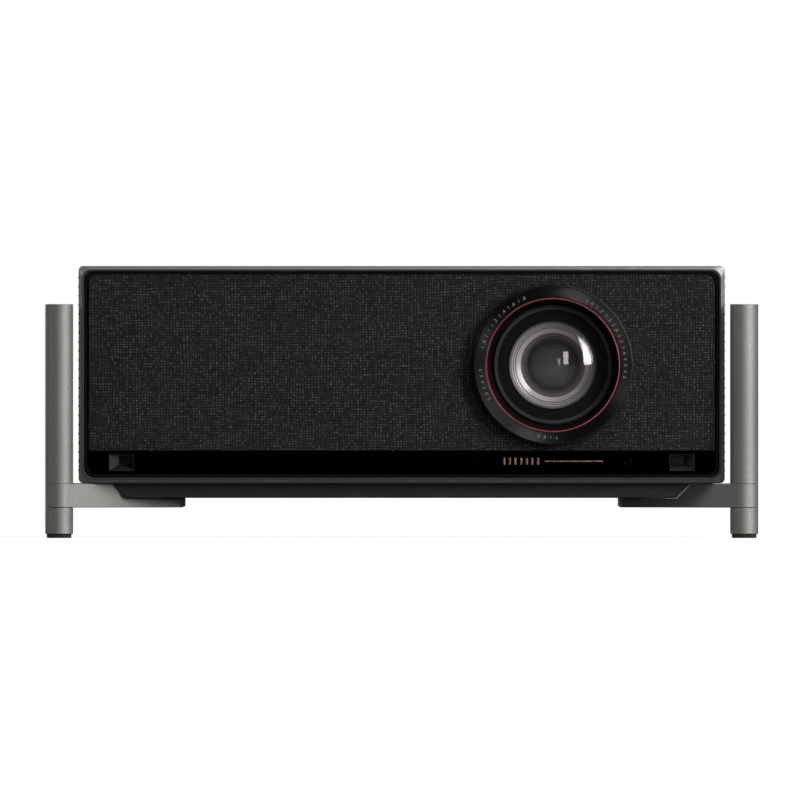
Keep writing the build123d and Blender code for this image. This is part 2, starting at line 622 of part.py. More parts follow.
FLANGE_W, FLANGE_H, FLANGE_T, FLANGE_BOLT_X, FLANGE_BOLT_Z = 124.0, 84.0, 4.0, 40.0, 36.0
flange_bolt_spots = [
    (LENS_X + sx * FLANGE_BOLT_X, LENS_Z + sz * FLANGE_BOLT_Z) for sx in (-1, 1) for sz in (-1, 1)
]
with BuildPart() as lens_barrel:
    turned(tube(BARREL_R, BARREL_BORE_R, HOOD_BACK, BARREL_BACK - FLANGE_T))
    with BuildSketch(facing_front(BARREL_BACK)):
        with Locations((LENS_X, LENS_Z)):
            RectangleRounded(FLANGE_W, FLANGE_H, 6)
            Circle(BARREL_BORE_R, mode=Mode.SUBTRACT)
        with Locations(*flange_bolt_spots):
            Circle(2.1, mode=Mode.SUBTRACT)
    extrude(amount=FLANGE_T)
write(lens_barrel, "lens_barrel")

with BuildPart() as front_lens_cell:
    turned(
        [
            (CELL_LIP_BORE_R, CELL_FRONT),
            (CELL_R, CELL_FRONT),
            (CELL_R, CELL_BACK),
            (CELL_BORE_R, CELL_BACK),
            (CELL_BORE_R, CELL_SEAT),
            (GLASS_R + FIT, CELL_SEAT),
            (GLASS_R + FIT, CELL_FLOOR),
            (CELL_LIP_BORE_R, CELL_FLOOR),
        ]
    )
write(front_lens_cell, "front_lens_cell")

with BuildPart() as front_element:
    with BuildSketch(LENS_SECTION):
        with BuildLine():
            front_face = ThreePointArc(*dome(GLASS_R, GLASS_EDGE_FRONT, GLASS_APEX))
            rim = Line(front_face @ 1, (GLASS_R, GLASS_EDGE_BACK))
            back_face = ThreePointArc(*dome(GLASS_R, GLASS_EDGE_BACK, GLASS_BACK_APEX))
            Line(front_face @ 0, back_face @ 0)
        make_face()
        # The second glass, seated in the baffle's bore.
        with BuildLine():
            inner_face = ThreePointArc(*dome(INNER_R, INNER_EDGE_FRONT, INNER_APEX))
            Polyline(inner_face @ 1, (INNER_R, INNER_EDGE_BACK), (0, INNER_EDGE_BACK), inner_face @ 0)
        make_face()
    revolve(axis=LENS_AXIS)
write(front_element, "front_element")

# Polished steps behind the front glass, each smaller and deeper than the last.
with BuildPart() as front_baffle:
    turned(
        [
            (CELL_BORE_R - FIT, BAFFLE_BACK),
            (CELL_BORE_R - FIT, BAFFLE_FRONT),
            *BAFFLE_BORE,
        ]
    )
write(front_baffle, "front_baffle")


def involute_tooth(teeth, outside):
    """Points over one tooth of an external gear, thinned for backlash, from root to root."""
    pitch_r = GEAR_MODULE * teeth / 2
    base_r = pitch_r * cos(PRESSURE_ANGLE)
    root_r = pitch_r - 1.25 * GEAR_MODULE
    half_angle = (pi / 2 * GEAR_MODULE - TOOTH_THINNING) / (2 * pitch_r)

    def involute(r):
        pressure = acos(base_r / r)
        return tan(pressure) - pressure

    start_r = max(base_r, root_r) + 0.01
    radii = [start_r + (outside - start_r) * k / 4 for k in range(5)]
    at_pitch = half_angle + involute(pitch_r)
    flank = [(r, at_pitch - involute(r)) for r in radii]
    flank = [(root_r, flank[0][1])] + flank
    return [(r, -a) for r, a in flank] + [(r, a) for r, a in reversed(flank)]


def gear_points(teeth, used, phase=0.0):
    """Outline points of the used teeth, the first at the phase angle, in radians."""
    outside = GEAR_MODULE * (teeth / 2 + 1)
    points = []
    for index in range(used):
        centre = phase + 2 * pi * index / teeth
        for r, a in involute_tooth(teeth, outside):
            points.append((r * cos(centre + a), r * sin(centre + a)))
    return points


ring_pitch_r = GEAR_MODULE * RING_TEETH / 2
pinion_pitch_r = GEAR_MODULE * PINION_TEETH / 2
ring_root_r = ring_pitch_r - 1.25 * GEAR_MODULE
gear_centres = ring_pitch_r + pinion_pitch_r
tooth_angle = 2 * pi / RING_TEETH
# The focus pinion is on the -X side of the lens and the zoom pinion on the +X side.
GEAR_TRAINS = {"focus": (-1, FOCUS_GEAR_Y), "zoom": (1, ZOOM_GEAR_Y)}

for train, (sign, gear_y) in GEAR_TRAINS.items():
    # Seen on a plane that faces the front, both rings turn their sector through the pinion.
    toward_pinion = pi if sign < 0 else 0.0
    first = toward_pinion - tooth_angle * (SECTOR_TEETH - 8)
    # A gap of the ring lies on the line of centres, and a tooth of the pinion fills it.
    first += tooth_angle / 2
    teeth = gear_points(RING_TEETH, SECTOR_TEETH, first)
    with BuildPart() as gear_ring:
        with BuildSketch(facing_front(gear_y + GEAR_W)):
            with Locations((LENS_X, LENS_Z)):
                Circle(ring_root_r)
            with BuildLine():
                sector = [(LENS_X + x, LENS_Z + z) for x, z in teeth]
                Polyline((LENS_X, LENS_Z), *sector, close=True)
            make_face()
            with Locations((LENS_X, LENS_Z)):
                Circle(BARREL_R + RUNNING, mode=Mode.SUBTRACT)
        extrude(amount=GEAR_W)
    write(gear_ring, f"{train}_ring")

    pinion_x = LENS_X + sign * gear_centres
    pinion_front = gear_y - PINION_EXTRA_W / 2
    pinion_teeth = gear_points(PINION_TEETH, PINION_TEETH, 0.0 if sign < 0 else pi)
    with BuildPart() as pinion:
        with BuildSketch(facing_front(pinion_front + GEAR_W + PINION_EXTRA_W)):
            with BuildLine():
                Polyline(*[(pinion_x + x, LENS_Z + z) for x, z in pinion_teeth], close=True)
            make_face()
        extrude(amount=GEAR_W + PINION_EXTRA_W)
        with BuildSketch(facing_front(gear_y + GEAR_W + MOTOR_FRONT_GAP + 6)):
            with Locations((pinion_x, LENS_Z)):
                Circle(PINION_SHAFT_R)
        extrude(amount=MOTOR_FRONT_GAP + 6)
    write(pinion, f"{train}_pinion")

with BuildPart() as lens_motors:
    for sign, gear_y in GEAR_TRAINS.values():
        pinion_x = LENS_X + sign * gear_centres
        can_length = BARREL_BACK - FLANGE_T - (gear_y + GEAR_W + MOTOR_FRONT_GAP)
        with BuildSketch(facing_front(BARREL_BACK - FLANGE_T)):
            with Locations((pinion_x, LENS_Z)):
                Circle(MOTOR_R)
        extrude(amount=can_length)
    for sign, gear_y in GEAR_TRAINS.values():
        with BuildSketch(facing_front(gear_y + GEAR_W + MOTOR_FRONT_GAP + 6.5)):
            with Locations((LENS_X + sign * gear_centres, LENS_Z)):
                Circle(PINION_SHAFT_R + RUNNING)
        extrude(amount=8, mode=Mode.SUBTRACT)
write(lens_motors, "lens_motors")

ZOOM_CELL_FRONT, ZOOM_CELL_BACK, ZOOM_GLASS_R = -96.0, -72.0, 24.0
ZOOM_EDGE_FRONT, ZOOM_APEX_FRONT = -87.0, -92.5
ZOOM_EDGE_BACK, ZOOM_APEX_BACK = -81.0, -75.5
with BuildPart() as zoom_cell:
    turned(
        [
            (CELL_BORE_R, ZOOM_CELL_FRONT),
            (CELL_R, ZOOM_CELL_FRONT),
            (CELL_R, ZOOM_CELL_BACK),
            (CELL_BORE_R, ZOOM_CELL_BACK),
            (CELL_BORE_R, ZOOM_EDGE_BACK),
            (ZOOM_GLASS_R + FIT, ZOOM_EDGE_BACK),
            (ZOOM_GLASS_R + FIT, ZOOM_EDGE_FRONT),
            (CELL_BORE_R, ZOOM_EDGE_FRONT),
        ]
    )
write(zoom_cell, "zoom_cell")

with BuildPart() as zoom_element:
    with BuildSketch(LENS_SECTION):
        with BuildLine():
            front_face = ThreePointArc(*dome(ZOOM_GLASS_R, ZOOM_EDGE_FRONT, ZOOM_APEX_FRONT))
            rim = Line(front_face @ 1, (ZOOM_GLASS_R, ZOOM_EDGE_BACK))
            back_face = ThreePointArc(*dome(ZOOM_GLASS_R, ZOOM_EDGE_BACK, ZOOM_APEX_BACK))
            Line(front_face @ 0, back_face @ 0)
        make_face()
    revolve(axis=LENS_AXIS)
write(zoom_element, "zoom_element")

# ---------------------------------------------------------------- optical engine
ENGINE_FRONT, ENGINE_BACK, ENGINE_W, ENGINE_H, ENGINE_T = BARREL_BACK, 48.0, 100.0, 84.0, 3.0
PRISM_SIZE, PRISM_Y, PRISM_GAP = 34.0, 4.0, 0.2
BEAM_HOLE_R, BEAM_Y = 15.0, PRISM_Y
engine_mid_y = (ENGINE_FRONT + ENGINE_BACK) / 2
engine_left_x = LENS_X - ENGINE_W / 2

with BuildPart() as engine_housing:
    with Locations((LENS_X, engine_mid_y, LENS_Z)):
        Box(ENGINE_W, ENGINE_BACK - ENGINE_FRONT, ENGINE_H)
        Box(
            ENGINE_W - 2 * ENGINE_T,
            ENGINE_BACK - ENGINE_FRONT - 2 * ENGINE_T,
            ENGINE_H - 2 * ENGINE_T,
            mode=Mode.SUBTRACT,
        )
    with BuildSketch(facing_front(ENGINE_FRONT + ENGINE_T)):
        with Locations((LENS_X, LENS_Z)):
            Circle(30)
    extrude(amount=ENGINE_T, mode=Mode.SUBTRACT)
    with BuildSketch(facing_front(ENGINE_BACK)):
        with Locations((LENS_X, LENS_Z)):
            Rectangle(30, 26)
    extrude(amount=ENGINE_T, mode=Mode.SUBTRACT)
    with BuildSketch(Plane.YZ.offset(engine_left_x)):
        with Locations((BEAM_Y, LENS_Z)):
            Circle(BEAM_HOLE_R)
    extrude(amount=ENGINE_T, mode=Mode.SUBTRACT)
    with Locations((LENS_X, engine_mid_y, FLOOR_Z)):
        with GridLocations(ENGINE_W - LEG_W, ENGINE_BACK - ENGINE_FRONT - LEG_W, 2, 2):
            Box(LEG_W, LEG_W, LENS_Z - ENGINE_H / 2 - FLOOR_Z, align=STANDING)
    # Pedestal under the prism.
    with Locations((LENS_X, PRISM_Y, LENS_Z - ENGINE_H / 2 + ENGINE_T)):
        Box(
            PRISM_SIZE,
            PRISM_SIZE,
            ENGINE_H / 2 - ENGINE_T - PRISM_SIZE / 2,
            align=STANDING,
        )
write(engine_housing, "engine_housing")

with BuildPart() as prism:
    # Two wedges with a thin air gap between them, across one diagonal.
    half_prism = PRISM_SIZE / 2
    short_half = half_prism - PRISM_GAP
    for sign in (-1, 1):
        with BuildSketch(Plane.XY.offset(LENS_Z - half_prism)):
            with BuildLine():
                Polyline(
                    (LENS_X + sign * half_prism, PRISM_Y + sign * half_prism),
                    (LENS_X + sign * half_prism, PRISM_Y - sign * short_half),
                    (LENS_X - sign * short_half, PRISM_Y + sign * half_prism),
                    close=True,
                )
            make_face()
        extrude(amount=PRISM_SIZE)
write(prism, "prism")

DMD_W, DMD_H, DMD_BOARD_T = 70.0, 62.0, 1.6
CHIP_W, CHIP_H, CHIP_T = 26.0, 22.0, 4.0
DMD_FIN_T, DMD_FIN_L, DMD_FIN_H, DMD_FIN_PITCH, DMD_FINS = 1.2, 26.0, 38.0, 3.8, 12
dmd_face = ENGINE_BACK + 0.5
dmd_back = dmd_face + DMD_BOARD_T
with BuildPart() as dmd_board:
    with Locations((LENS_X, dmd_face, LENS_Z)):
        Box(DMD_W, DMD_BOARD_T, DMD_H, align=(Align.CENTER, Align.MIN, Align.CENTER))
        Box(CHIP_W, CHIP_T, CHIP_H, align=(Align.CENTER, Align.MAX, Align.CENTER))
    # Its cooler is soldered on behind.
    with Locations((LENS_X, dmd_back, LENS_Z)):
        with GridLocations(DMD_FIN_PITCH, 0, DMD_FINS, 1):
            Box(
                DMD_FIN_T,
                DMD_FIN_L,
                DMD_FIN_H,
                align=(Align.CENTER, Align.MIN, Align.CENTER),
            )
write(dmd_board, "dmd_board")

LASER_LEFT_X = -30.0
LASER_W = engine_left_x - LASER_LEFT_X - 0.2
LASER_D, LASER_H, LASER_SHIFT = 52.0, 52.0, 6.0
with BuildPart() as laser_module:
    with Locations((LASER_LEFT_X + LASER_W / 2, BEAM_Y + LASER_SHIFT, LENS_Z)):
        Box(LASER_W, LASER_D, LASER_H)
        with GridLocations(LASER_W - LEG_W, LASER_D - LEG_W, 2, 2):
            Box(
                LEG_W,
                LEG_W,
                LENS_Z - FLOOR_Z,
                align=(Align.CENTER, Align.CENTER, Align.MAX),
            )
    with BuildSketch(Plane.YZ.offset(LASER_LEFT_X + LASER_W)):
        with Locations((BEAM_Y, LENS_Z)):
            Circle(BEAM_HOLE_R - 1)
    extrude(amount=ENGINE_T + 6)
write(laser_module, "laser_module")

FINS, FIN_T, FIN_PITCH, FIN_W, FIN_H = 24, 0.8, 3.6, 84.0, 88.0
PIPE_R, PIPE_RISE, PIPE_Y = 3.0, 16.0, (36.0, 48.0)
SINK_X, SINK_Y = -112.0, 66.0
PLATE_T, PLATE_D, PLATE_H, PLATE_SHIFT = 6.0, 60.0, 56.0, 20.0
plate_x = LASER_LEFT_X - FIT - PLATE_T / 2
first_fin_x = SINK_X - FIN_PITCH * (FINS - 1) / 2
with BuildPart() as heat_sink:
    with Locations((SINK_X, SINK_Y, FAN_Z)):
        with GridLocations(FIN_PITCH, 0, FINS, 1):
            Box(FIN_T, FIN_W, FIN_H)
    with Locations((plate_x, BEAM_Y + PLATE_SHIFT, LENS_Z)):
        Box(PLATE_T, PLATE_D, PLATE_H)
    for pipe_y in PIPE_Y:
        with BuildSketch(Plane.YZ.offset(first_fin_x - 2)):
            with Locations((pipe_y, FAN_Z)):
                with GridLocations(0, PIPE_RISE, 1, 3):
                    Circle(PIPE_R)
        extrude(amount=plate_x - (first_fin_x - 2))
    # A foot under each end of the stack.
    with Locations((SINK_X, SINK_Y, FLOOR_Z)):
        with GridLocations(FIN_PITCH * (FINS - 1), FIN_W - LEG_W, 2, 2):
            Box(3 * FIN_T, LEG_W, FAN_Z - FLOOR_Z, align=STANDING)
write(heat_sink, "heat_sink")

# ---------------------------------------------------------------- fan
# It blows out through the left grille.
FAN_GAP = 1.5
FAN_CORNER_R, FAN_HOLE_R, FAN_HOLE_INSET = 5.0, 2.1, 5.0
SPIDER_T, SPOKE_W, SPOKES = 3.0, 4.0, 4
SPINDLE_R, SPINDLE_REACH = 2.0, 3.5
BLADE_T, BLADE_PITCH_ANGLE = 1.6, 38.0
ROTOR_T, ROTOR_SHIFT = FAN_T - 7, 1.8
fan_mid_x = -(grille_outer_x - GRILLE_T - FAN_GAP - FAN_T / 2)
with BuildPart() as fan_frame:
    with BuildSketch(Plane.YZ.offset(fan_mid_x - FAN_T / 2)):
        with Locations((FAN_Y, FAN_Z)):
            RectangleRounded(FAN_SIZE, FAN_SIZE, FAN_CORNER_R)
            Circle(FAN_TIP_R + 1.5, mode=Mode.SUBTRACT)
            with GridLocations(
                FAN_SIZE - 2 * FAN_HOLE_INSET, FAN_SIZE - 2 * FAN_HOLE_INSET, 2, 2
            ):
                Circle(FAN_HOLE_R, mode=Mode.SUBTRACT)
    extrude(amount=FAN_T)
    # The spider that carries the bearing is on the inner face.
    with BuildSketch(Plane.YZ.offset(fan_mid_x + FAN_T / 2 - SPIDER_T)):
        with Locations((FAN_Y, FAN_Z)):
            Circle(FAN_HUB_R)
            with PolarLocations((FAN_TIP_R + FAN_HUB_R) / 2, SPOKES):
                Rectangle(FAN_TIP_R - FAN_HUB_R + 6, SPOKE_W)
            Circle(SPINDLE_R, mode=Mode.SUBTRACT)
    extrude(amount=SPIDER_T)
    leg_top = FAN_Z - FAN_SIZE / 2 + 1
    with Locations((fan_mid_x + FAN_T / 2, FAN_Y, PAN_RIM_TOP)):
        with GridLocations(0, FAN_SIZE - 3 * LEG_W, 1, 2):
            Box(
                LEG_W,
                LEG_W,
                leg_top - PAN_RIM_TOP,
                align=(Align.MAX, Align.CENTER, Align.MIN),
            )
write(fan_frame, "fan_frame")

rotor_mid_x = fan_mid_x - ROTOR_SHIFT
with BuildPart() as fan_rotor:
    with BuildSketch(Plane.YZ.offset(rotor_mid_x - ROTOR_T / 2)):
        with Locations((FAN_Y, FAN_Z)):
            Circle(FAN_HUB_R)
    extrude(amount=ROTOR_T)
    with Locations(Location((rotor_mid_x, FAN_Y, FAN_Z), (0, 90, 0))):
        with PolarLocations((FAN_TIP_R + FAN_HUB_R) / 2 - 1, FAN_BLADES):
            Box(
                FAN_TIP_R - FAN_HUB_R + 2,
                BLADE_T,
                ROTOR_T + 1,
                rotation=(BLADE_PITCH_ANGLE, 0, 0),
            )
    # The blades' corners are trimmed to the swept circle and width.
    with BuildSketch(Plane.YZ.offset(rotor_mid_x - ROTOR_T / 2)):
        with Locations((FAN_Y, FAN_Z)):
            Circle(FAN_TIP_R)
    extrude(amount=ROTOR_T, mode=Mode.INTERSECT)
    with BuildSketch(Plane.YZ.offset(rotor_mid_x)):
        with Locations((FAN_Y, FAN_Z)):
            Circle(SPINDLE_R - RUNNING)
    extrude(amount=ROTOR_T / 2 + SPINDLE_REACH)
write(fan_rotor, "fan_rotor")

# ---------------------------------------------------------------- electronics and sound
BOARD_T = 1.6
STANDOFF_R = 3.0
MAIN_BOARD_X, MAIN_BOARD_Y, MAIN_BOARD_Z = 70.0, 106.0, 46.0
MAIN_BOARD_W, MAIN_BOARD_D = 180.0, 56.0
# x, y, width, depth and height of each large component
MAIN_CHIPS = (
    (10.0, 104.0, 34.0, 34.0, 3.0),
    (60.0, 100.0, 22.0, 22.0, 2.4),
    (100.0, 100.0, 16.0, 16.0, 2.4),
    (140.0, 96.0, 30.0, 12.0, 7.0),
)
with BuildPart() as main_board:
    with Locations((MAIN_BOARD_X, MAIN_BOARD_Y, MAIN_BOARD_Z)):
        Box(MAIN_BOARD_W, MAIN_BOARD_D, BOARD_T, align=STANDING)
    for chip_x, chip_y, chip_w, chip_d, chip_h in MAIN_CHIPS:
        with Locations((chip_x, chip_y, MAIN_BOARD_Z + BOARD_T)):
            Box(chip_w, chip_d, chip_h, align=STANDING)
    with Locations((MAIN_BOARD_X, MAIN_BOARD_Y, FLOOR_Z)):
        with GridLocations(MAIN_BOARD_W - LEG_W, MAIN_BOARD_D - LEG_W, 2, 2):
            Cylinder(STANDOFF_R, MAIN_BOARD_Z - FLOOR_Z, align=STANDING)
write(main_board, "main_board")

POWER_BOARD_X, POWER_BOARD_Y, POWER_BOARD_Z = -105.0, -14.0, 44.0
POWER_BOARD_W, POWER_BOARD_D = 104.0, 70.0
POWER_BLOCKS = (
    (-135.0, -28.0, 26.0, 24.0, 20.0),
    (-98.0, -8.0, 30.0, 26.0, 8.0),
    (-70.0, -28.0, 12.0, 30.0, 18.0),
)
CAPACITORS, CAPACITOR_R, CAPACITOR_H = ((-145.0, 2.0), (-126.0, 6.0)), 7.0, 18.0
with BuildPart() as power_board:
    with Locations((POWER_BOARD_X, POWER_BOARD_Y, POWER_BOARD_Z)):
        Box(POWER_BOARD_W, POWER_BOARD_D, BOARD_T, align=STANDING)
    for block_x, block_y, block_w, block_d, block_h in POWER_BLOCKS:
        with Locations((block_x, block_y, POWER_BOARD_Z + BOARD_T)):
            Box(block_w, block_d, block_h, align=STANDING)
    with Locations(*[(x, y, POWER_BOARD_Z + BOARD_T) for x, y in CAPACITORS]):
        Cylinder(CAPACITOR_R, CAPACITOR_H, align=STANDING)
    with Locations((POWER_BOARD_X, POWER_BOARD_Y, FLOOR_Z)):
        with GridLocations(POWER_BOARD_W - LEG_W, POWER_BOARD_D - LEG_W, 2, 2):
            Cylinder(STANDOFF_R, POWER_BOARD_Z - FLOOR_Z, align=STANDING)
write(power_board, "power_board")

SPEAKER_FRONT, SPEAKER_BACK = -131.0, -78.0
SPEAKER_X, SPEAKER_W, SPEAKER_H, SPEAKER_T = -94.0, 168.0, 92.0, 2.5
with BuildPart() as speaker_box:
    with Locations((SPEAKER_X, (SPEAKER_FRONT + SPEAKER_BACK) / 2, DRIVER_Z)):
        Box(SPEAKER_W, SPEAKER_BACK - SPEAKER_FRONT, SPEAKER_H)
        Box(
            SPEAKER_W - 2 * SPEAKER_T,
            SPEAKER_BACK - SPEAKER_FRONT - 2 * SPEAKER_T,
            SPEAKER_H - 2 * SPEAKER_T,
            mode=Mode.SUBTRACT,
        )
    with BuildSketch(facing_front(SPEAKER_FRONT + SPEAKER_T)):
        with Locations(*[(x, DRIVER_Z) for x in DRIVER_X]):
            Circle(DRIVER_R - 3)
    extrude(amount=SPEAKER_T, mode=Mode.SUBTRACT)
    with Locations((SPEAKER_X + LEG_W, SPEAKER_BACK - LEG_W, FLOOR_Z)):
        with GridLocations(SPEAKER_W - 3.5 * LEG_W, 2 * LEG_W, 2, 2):
            Box(LEG_W, LEG_W, DRIVER_Z - SPEAKER_H / 2 - FLOOR_Z, align=STANDING)
write(speaker_box, "speaker_box")

with BuildPart() as speaker_drivers:
    for driver_x in DRIVER_X:
        driver_axis = Axis((driver_x, 0, DRIVER_Z), (0, 1, 0))
        driver_plane = Plane(origin=(driver_x, 0, DRIVER_Z), x_dir=(1, 0, 0), z_dir=(0, 0, 1))
        front = SPEAKER_FRONT
        turned(
            [
                (0, front + 8),
                (8, front + 9),
                (26, front - 1.5),
                (28, front - 3),
                (30, front - 1.5),
                (DRIVER_R, front - 1.5),
                (DRIVER_R, front - 0.05),
                (DRIVER_R - 4, front - 0.05),
                (24, front + 14),
                (24, front + 26),
                (0, front + 26),
            ],
            driver_axis,
            driver_plane,
        )
write(speaker_drivers, "speaker_drivers")

# ---------------------------------------------------------------- rear panel and sockets
REAR_FACE, REAR_T = SHELL_BACK - 2.0, 2.5
REAR_HALF_W = SHELL_HALF_W - WALL - 0.2
REAR_BOTTOM, REAR_TOP = SHELL_BOTTOM + WALL + 0.2, OVERALL_H - WALL - 0.2
INLET_X, INLET_Z, INLET_W, INLET_H = -150.0, 62.0, 28.0, 20.0
SOCKET_Z = MAIN_BOARD_Z + BOARD_T
HDMI_X, HDMI_W, HDMI_H = (-20.0, 2.0), 15.0, 6.0
USB_X, USB_W, USB_H = (26.0, 46.0), 14.4, 7.0
LAN_X, LAN_W, LAN_H = 70.0, 16.0, 13.5
JACK_X, JACK_W = (94.0, 110.0), 9.0
BUTTON_X, BUTTON_Z, BUTTON_R = 150.0, 62.0, 7.0
BUTTON_TRAVEL = 1.5
rear_mid_z = (REAR_BOTTOM + REAR_TOP) / 2
REAR_SLOTS, REAR_SLOT_PITCH, REAR_SLOT_H, REAR_SLOT_W = 12, 6.0, 3.0, 150.0


def socket_centres():
    """(x, z, width, height) of each socket's opening in the rear panel."""
    openings = [(x, SOCKET_Z + HDMI_H / 2, HDMI_W, HDMI_H) for x in HDMI_X]
    openings += [(x, SOCKET_Z + USB_H / 2, USB_W, USB_H) for x in USB_X]
    openings += [(LAN_X, SOCKET_Z + LAN_H / 2, LAN_W, LAN_H)]
    openings += [(x, SOCKET_Z + JACK_W / 2, JACK_W, JACK_W) for x in JACK_X]
    return openings


with BuildPart() as rear_panel:
    with BuildSketch(facing_front(REAR_FACE)):
        with Locations((0, rear_mid_z)):
            RectangleRounded(2 * REAR_HALF_W, REAR_TOP - REAR_BOTTOM, BEVEL_CORNER_R - 0.5)
        for side in (-1, 1):
            with Locations((side * 92, 120)):
                with GridLocations(0, REAR_SLOT_PITCH, 1, REAR_SLOTS):
                    SlotOverall(REAR_SLOT_W, REAR_SLOT_H, mode=Mode.SUBTRACT)
        for x, z, w, h in socket_centres():
            with Locations((x, z)):
                Rectangle(w + 2 * FIT, h + 2 * FIT, mode=Mode.SUBTRACT)
        with Locations((INLET_X, INLET_Z)):
            Rectangle(INLET_W + 2 * FIT, INLET_H + 2 * FIT, mode=Mode.SUBTRACT)
        with Locations((BUTTON_X, BUTTON_Z)):
            Circle(BUTTON_R + 0.2, mode=Mode.SUBTRACT)
    extrude(amount=REAR_T)
write(rear_panel, "rear_panel")

SOCKET_WALL, SOCKET_DEPTH_IN, SOCKET_BODY_L = 0.6, 12.0, 16.0
TONGUE_T, TONGUE_L = 1.0, 9.0
with BuildPart() as data_sockets:
    for x, z, w, h in socket_centres():
        round_jack = w == JACK_W
        with BuildSketch(facing_front(REAR_FACE)):
            with Locations((x, z)):
                Rectangle(w, h)
        extrude(amount=SOCKET_BODY_L)
    for x, z, w, h in socket_centres():
        with BuildSketch(facing_front(REAR_FACE)):
            with Locations((x, z)):
                if w == JACK_W:
                    Circle(1.8)
                elif w == LAN_W:
                    Rectangle(11.8, 8.4)
                else:
                    Rectangle(w - 2 * SOCKET_WALL, h - 2 * SOCKET_WALL)
        extrude(amount=SOCKET_DEPTH_IN, mode=Mode.SUBTRACT)
    for x, z, w, h in socket_centres():
        if w in (HDMI_W, USB_W):
            with BuildSketch(facing_front(REAR_FACE - SOCKET_DEPTH_IN + TONGUE_L)):
                with Locations((x, z)):
                    Rectangle(w - 4, TONGUE_T)
            extrude(amount=TONGUE_L + 1)
write(data_sockets, "data_sockets")

INLET_FLANGE_T, INLET_BODY_L = 2.0, 22.0
INLET_CAVITY_W, INLET_CAVITY_H, INLET_CAVITY_L = 24.4, 16.4, 17.0
PIN_L, PIN_W, PIN_H, PIN_PITCH, EARTH_RISE = 14.0, 2.0, 4.0, 14.0, 4.0
with BuildPart() as power_inlet:
    with BuildSketch(facing_front(REAR_FACE + INLET_FLANGE_T)):
        with Locations((INLET_X, INLET_Z)):
            RectangleRounded(INLET_W + 6, INLET_H + 6, 3)
    extrude(amount=INLET_FLANGE_T)
    with BuildSketch(facing_front(REAR_FACE)):
        with Locations((INLET_X, INLET_Z)):
            Rectangle(INLET_W, INLET_H)
    extrude(amount=INLET_BODY_L)
    with BuildSketch(facing_front(REAR_FACE + INLET_FLANGE_T)):
        with Locations((INLET_X, INLET_Z)):
            Rectangle(INLET_CAVITY_W, INLET_CAVITY_H)
    extrude(amount=INLET_CAVITY_L, mode=Mode.SUBTRACT)
    cavity_floor = REAR_FACE + INLET_FLANGE_T - INLET_CAVITY_L
    with BuildSketch(facing_front(cavity_floor + PIN_L)):
        with Locations(
            (INLET_X - PIN_PITCH / 2, INLET_Z - EARTH_RISE / 2),
            (INLET_X + PIN_PITCH / 2, INLET_Z - EARTH_RISE / 2),
            (INLET_X, INLET_Z + EARTH_RISE / 2),
        ):
            Rectangle(PIN_W, PIN_H)
    extrude(amount=PIN_L + 1)
write(power_inlet, "power_inlet")

with BuildPart() as power_button:
    with BuildSketch(facing_front(REAR_FACE + 1.2)):
        with Locations((BUTTON_X, BUTTON_Z)):
            Circle(BUTTON_R)
    extrude(amount=REAR_T + 1.2)
    with BuildSketch(facing_front(REAR_FACE - REAR_T)):
        with Locations((BUTTON_X, BUTTON_Z)):
            Circle(BUTTON_R + 1.2)
    extrude(amount=1.2)
write(power_button, "power_button")
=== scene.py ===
"""Home projector: finishes, fine pieces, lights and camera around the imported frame, in metres."""

import math

import bmesh
import bpy
from mathutils import Matrix, Vector


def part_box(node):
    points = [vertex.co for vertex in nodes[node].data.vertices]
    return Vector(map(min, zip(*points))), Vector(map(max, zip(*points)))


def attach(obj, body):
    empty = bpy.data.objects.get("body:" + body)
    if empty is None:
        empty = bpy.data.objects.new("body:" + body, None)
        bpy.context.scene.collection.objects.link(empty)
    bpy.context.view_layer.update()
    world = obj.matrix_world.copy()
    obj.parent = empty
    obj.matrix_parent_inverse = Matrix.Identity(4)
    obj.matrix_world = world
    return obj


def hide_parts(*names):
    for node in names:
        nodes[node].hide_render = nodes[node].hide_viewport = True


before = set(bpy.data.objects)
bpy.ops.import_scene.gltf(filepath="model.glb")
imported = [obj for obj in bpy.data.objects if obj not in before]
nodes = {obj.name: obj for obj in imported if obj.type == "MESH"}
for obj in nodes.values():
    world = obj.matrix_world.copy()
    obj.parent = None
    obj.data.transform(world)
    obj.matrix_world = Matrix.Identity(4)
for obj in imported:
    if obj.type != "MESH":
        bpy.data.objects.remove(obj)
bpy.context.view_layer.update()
scene = bpy.context.scene
scene.view_settings.view_transform = "Standard"

MM = 0.001


# ---------------------------------------------------------------- camera

VIEW_WIDTH = 0.4823  # of the object's front, across the picture
VIEW_CENTRE_X, VIEW_CENTRE_Z = -1.0 * MM, 83.2 * MM
VIEW_HALF_ANGLE = 0.0105  # in radians: a very long lens, so the front is seen square on
SENSOR = 36.0
body_lo, body_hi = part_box("outer_shell")
camera_data = bpy.data.cameras.new("camera")
camera_data.sensor_width = SENSOR
camera_data.lens = SENSOR / 2 / math.tan(VIEW_HALF_ANGLE)
camera = bpy.data.objects.new("camera", camera_data)
scene.collection.objects.link(camera)
camera_away = VIEW_WIDTH / 2 / math.tan(VIEW_HALF_ANGLE)
camera.location = (VIEW_CENTRE_X, body_lo.y - camera_away, VIEW_CENTRE_Z)
camera.rotation_euler = (math.pi / 2, 0.0, 0.0)
camera_data.clip_start = 1.0
camera_data.clip_end = 100.0
scene.camera = camera


# ---------------------------------------------------------------- lens axis

lens_lo, lens_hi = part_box("lens_trim_ring")
LENS = ((lens_lo.x + lens_hi.x) / 2, (lens_lo.z + lens_hi.z) / 2)
RING_R = (lens_hi.x - lens_lo.x) / 2


# ---------------------------------------------------------------- node helpers

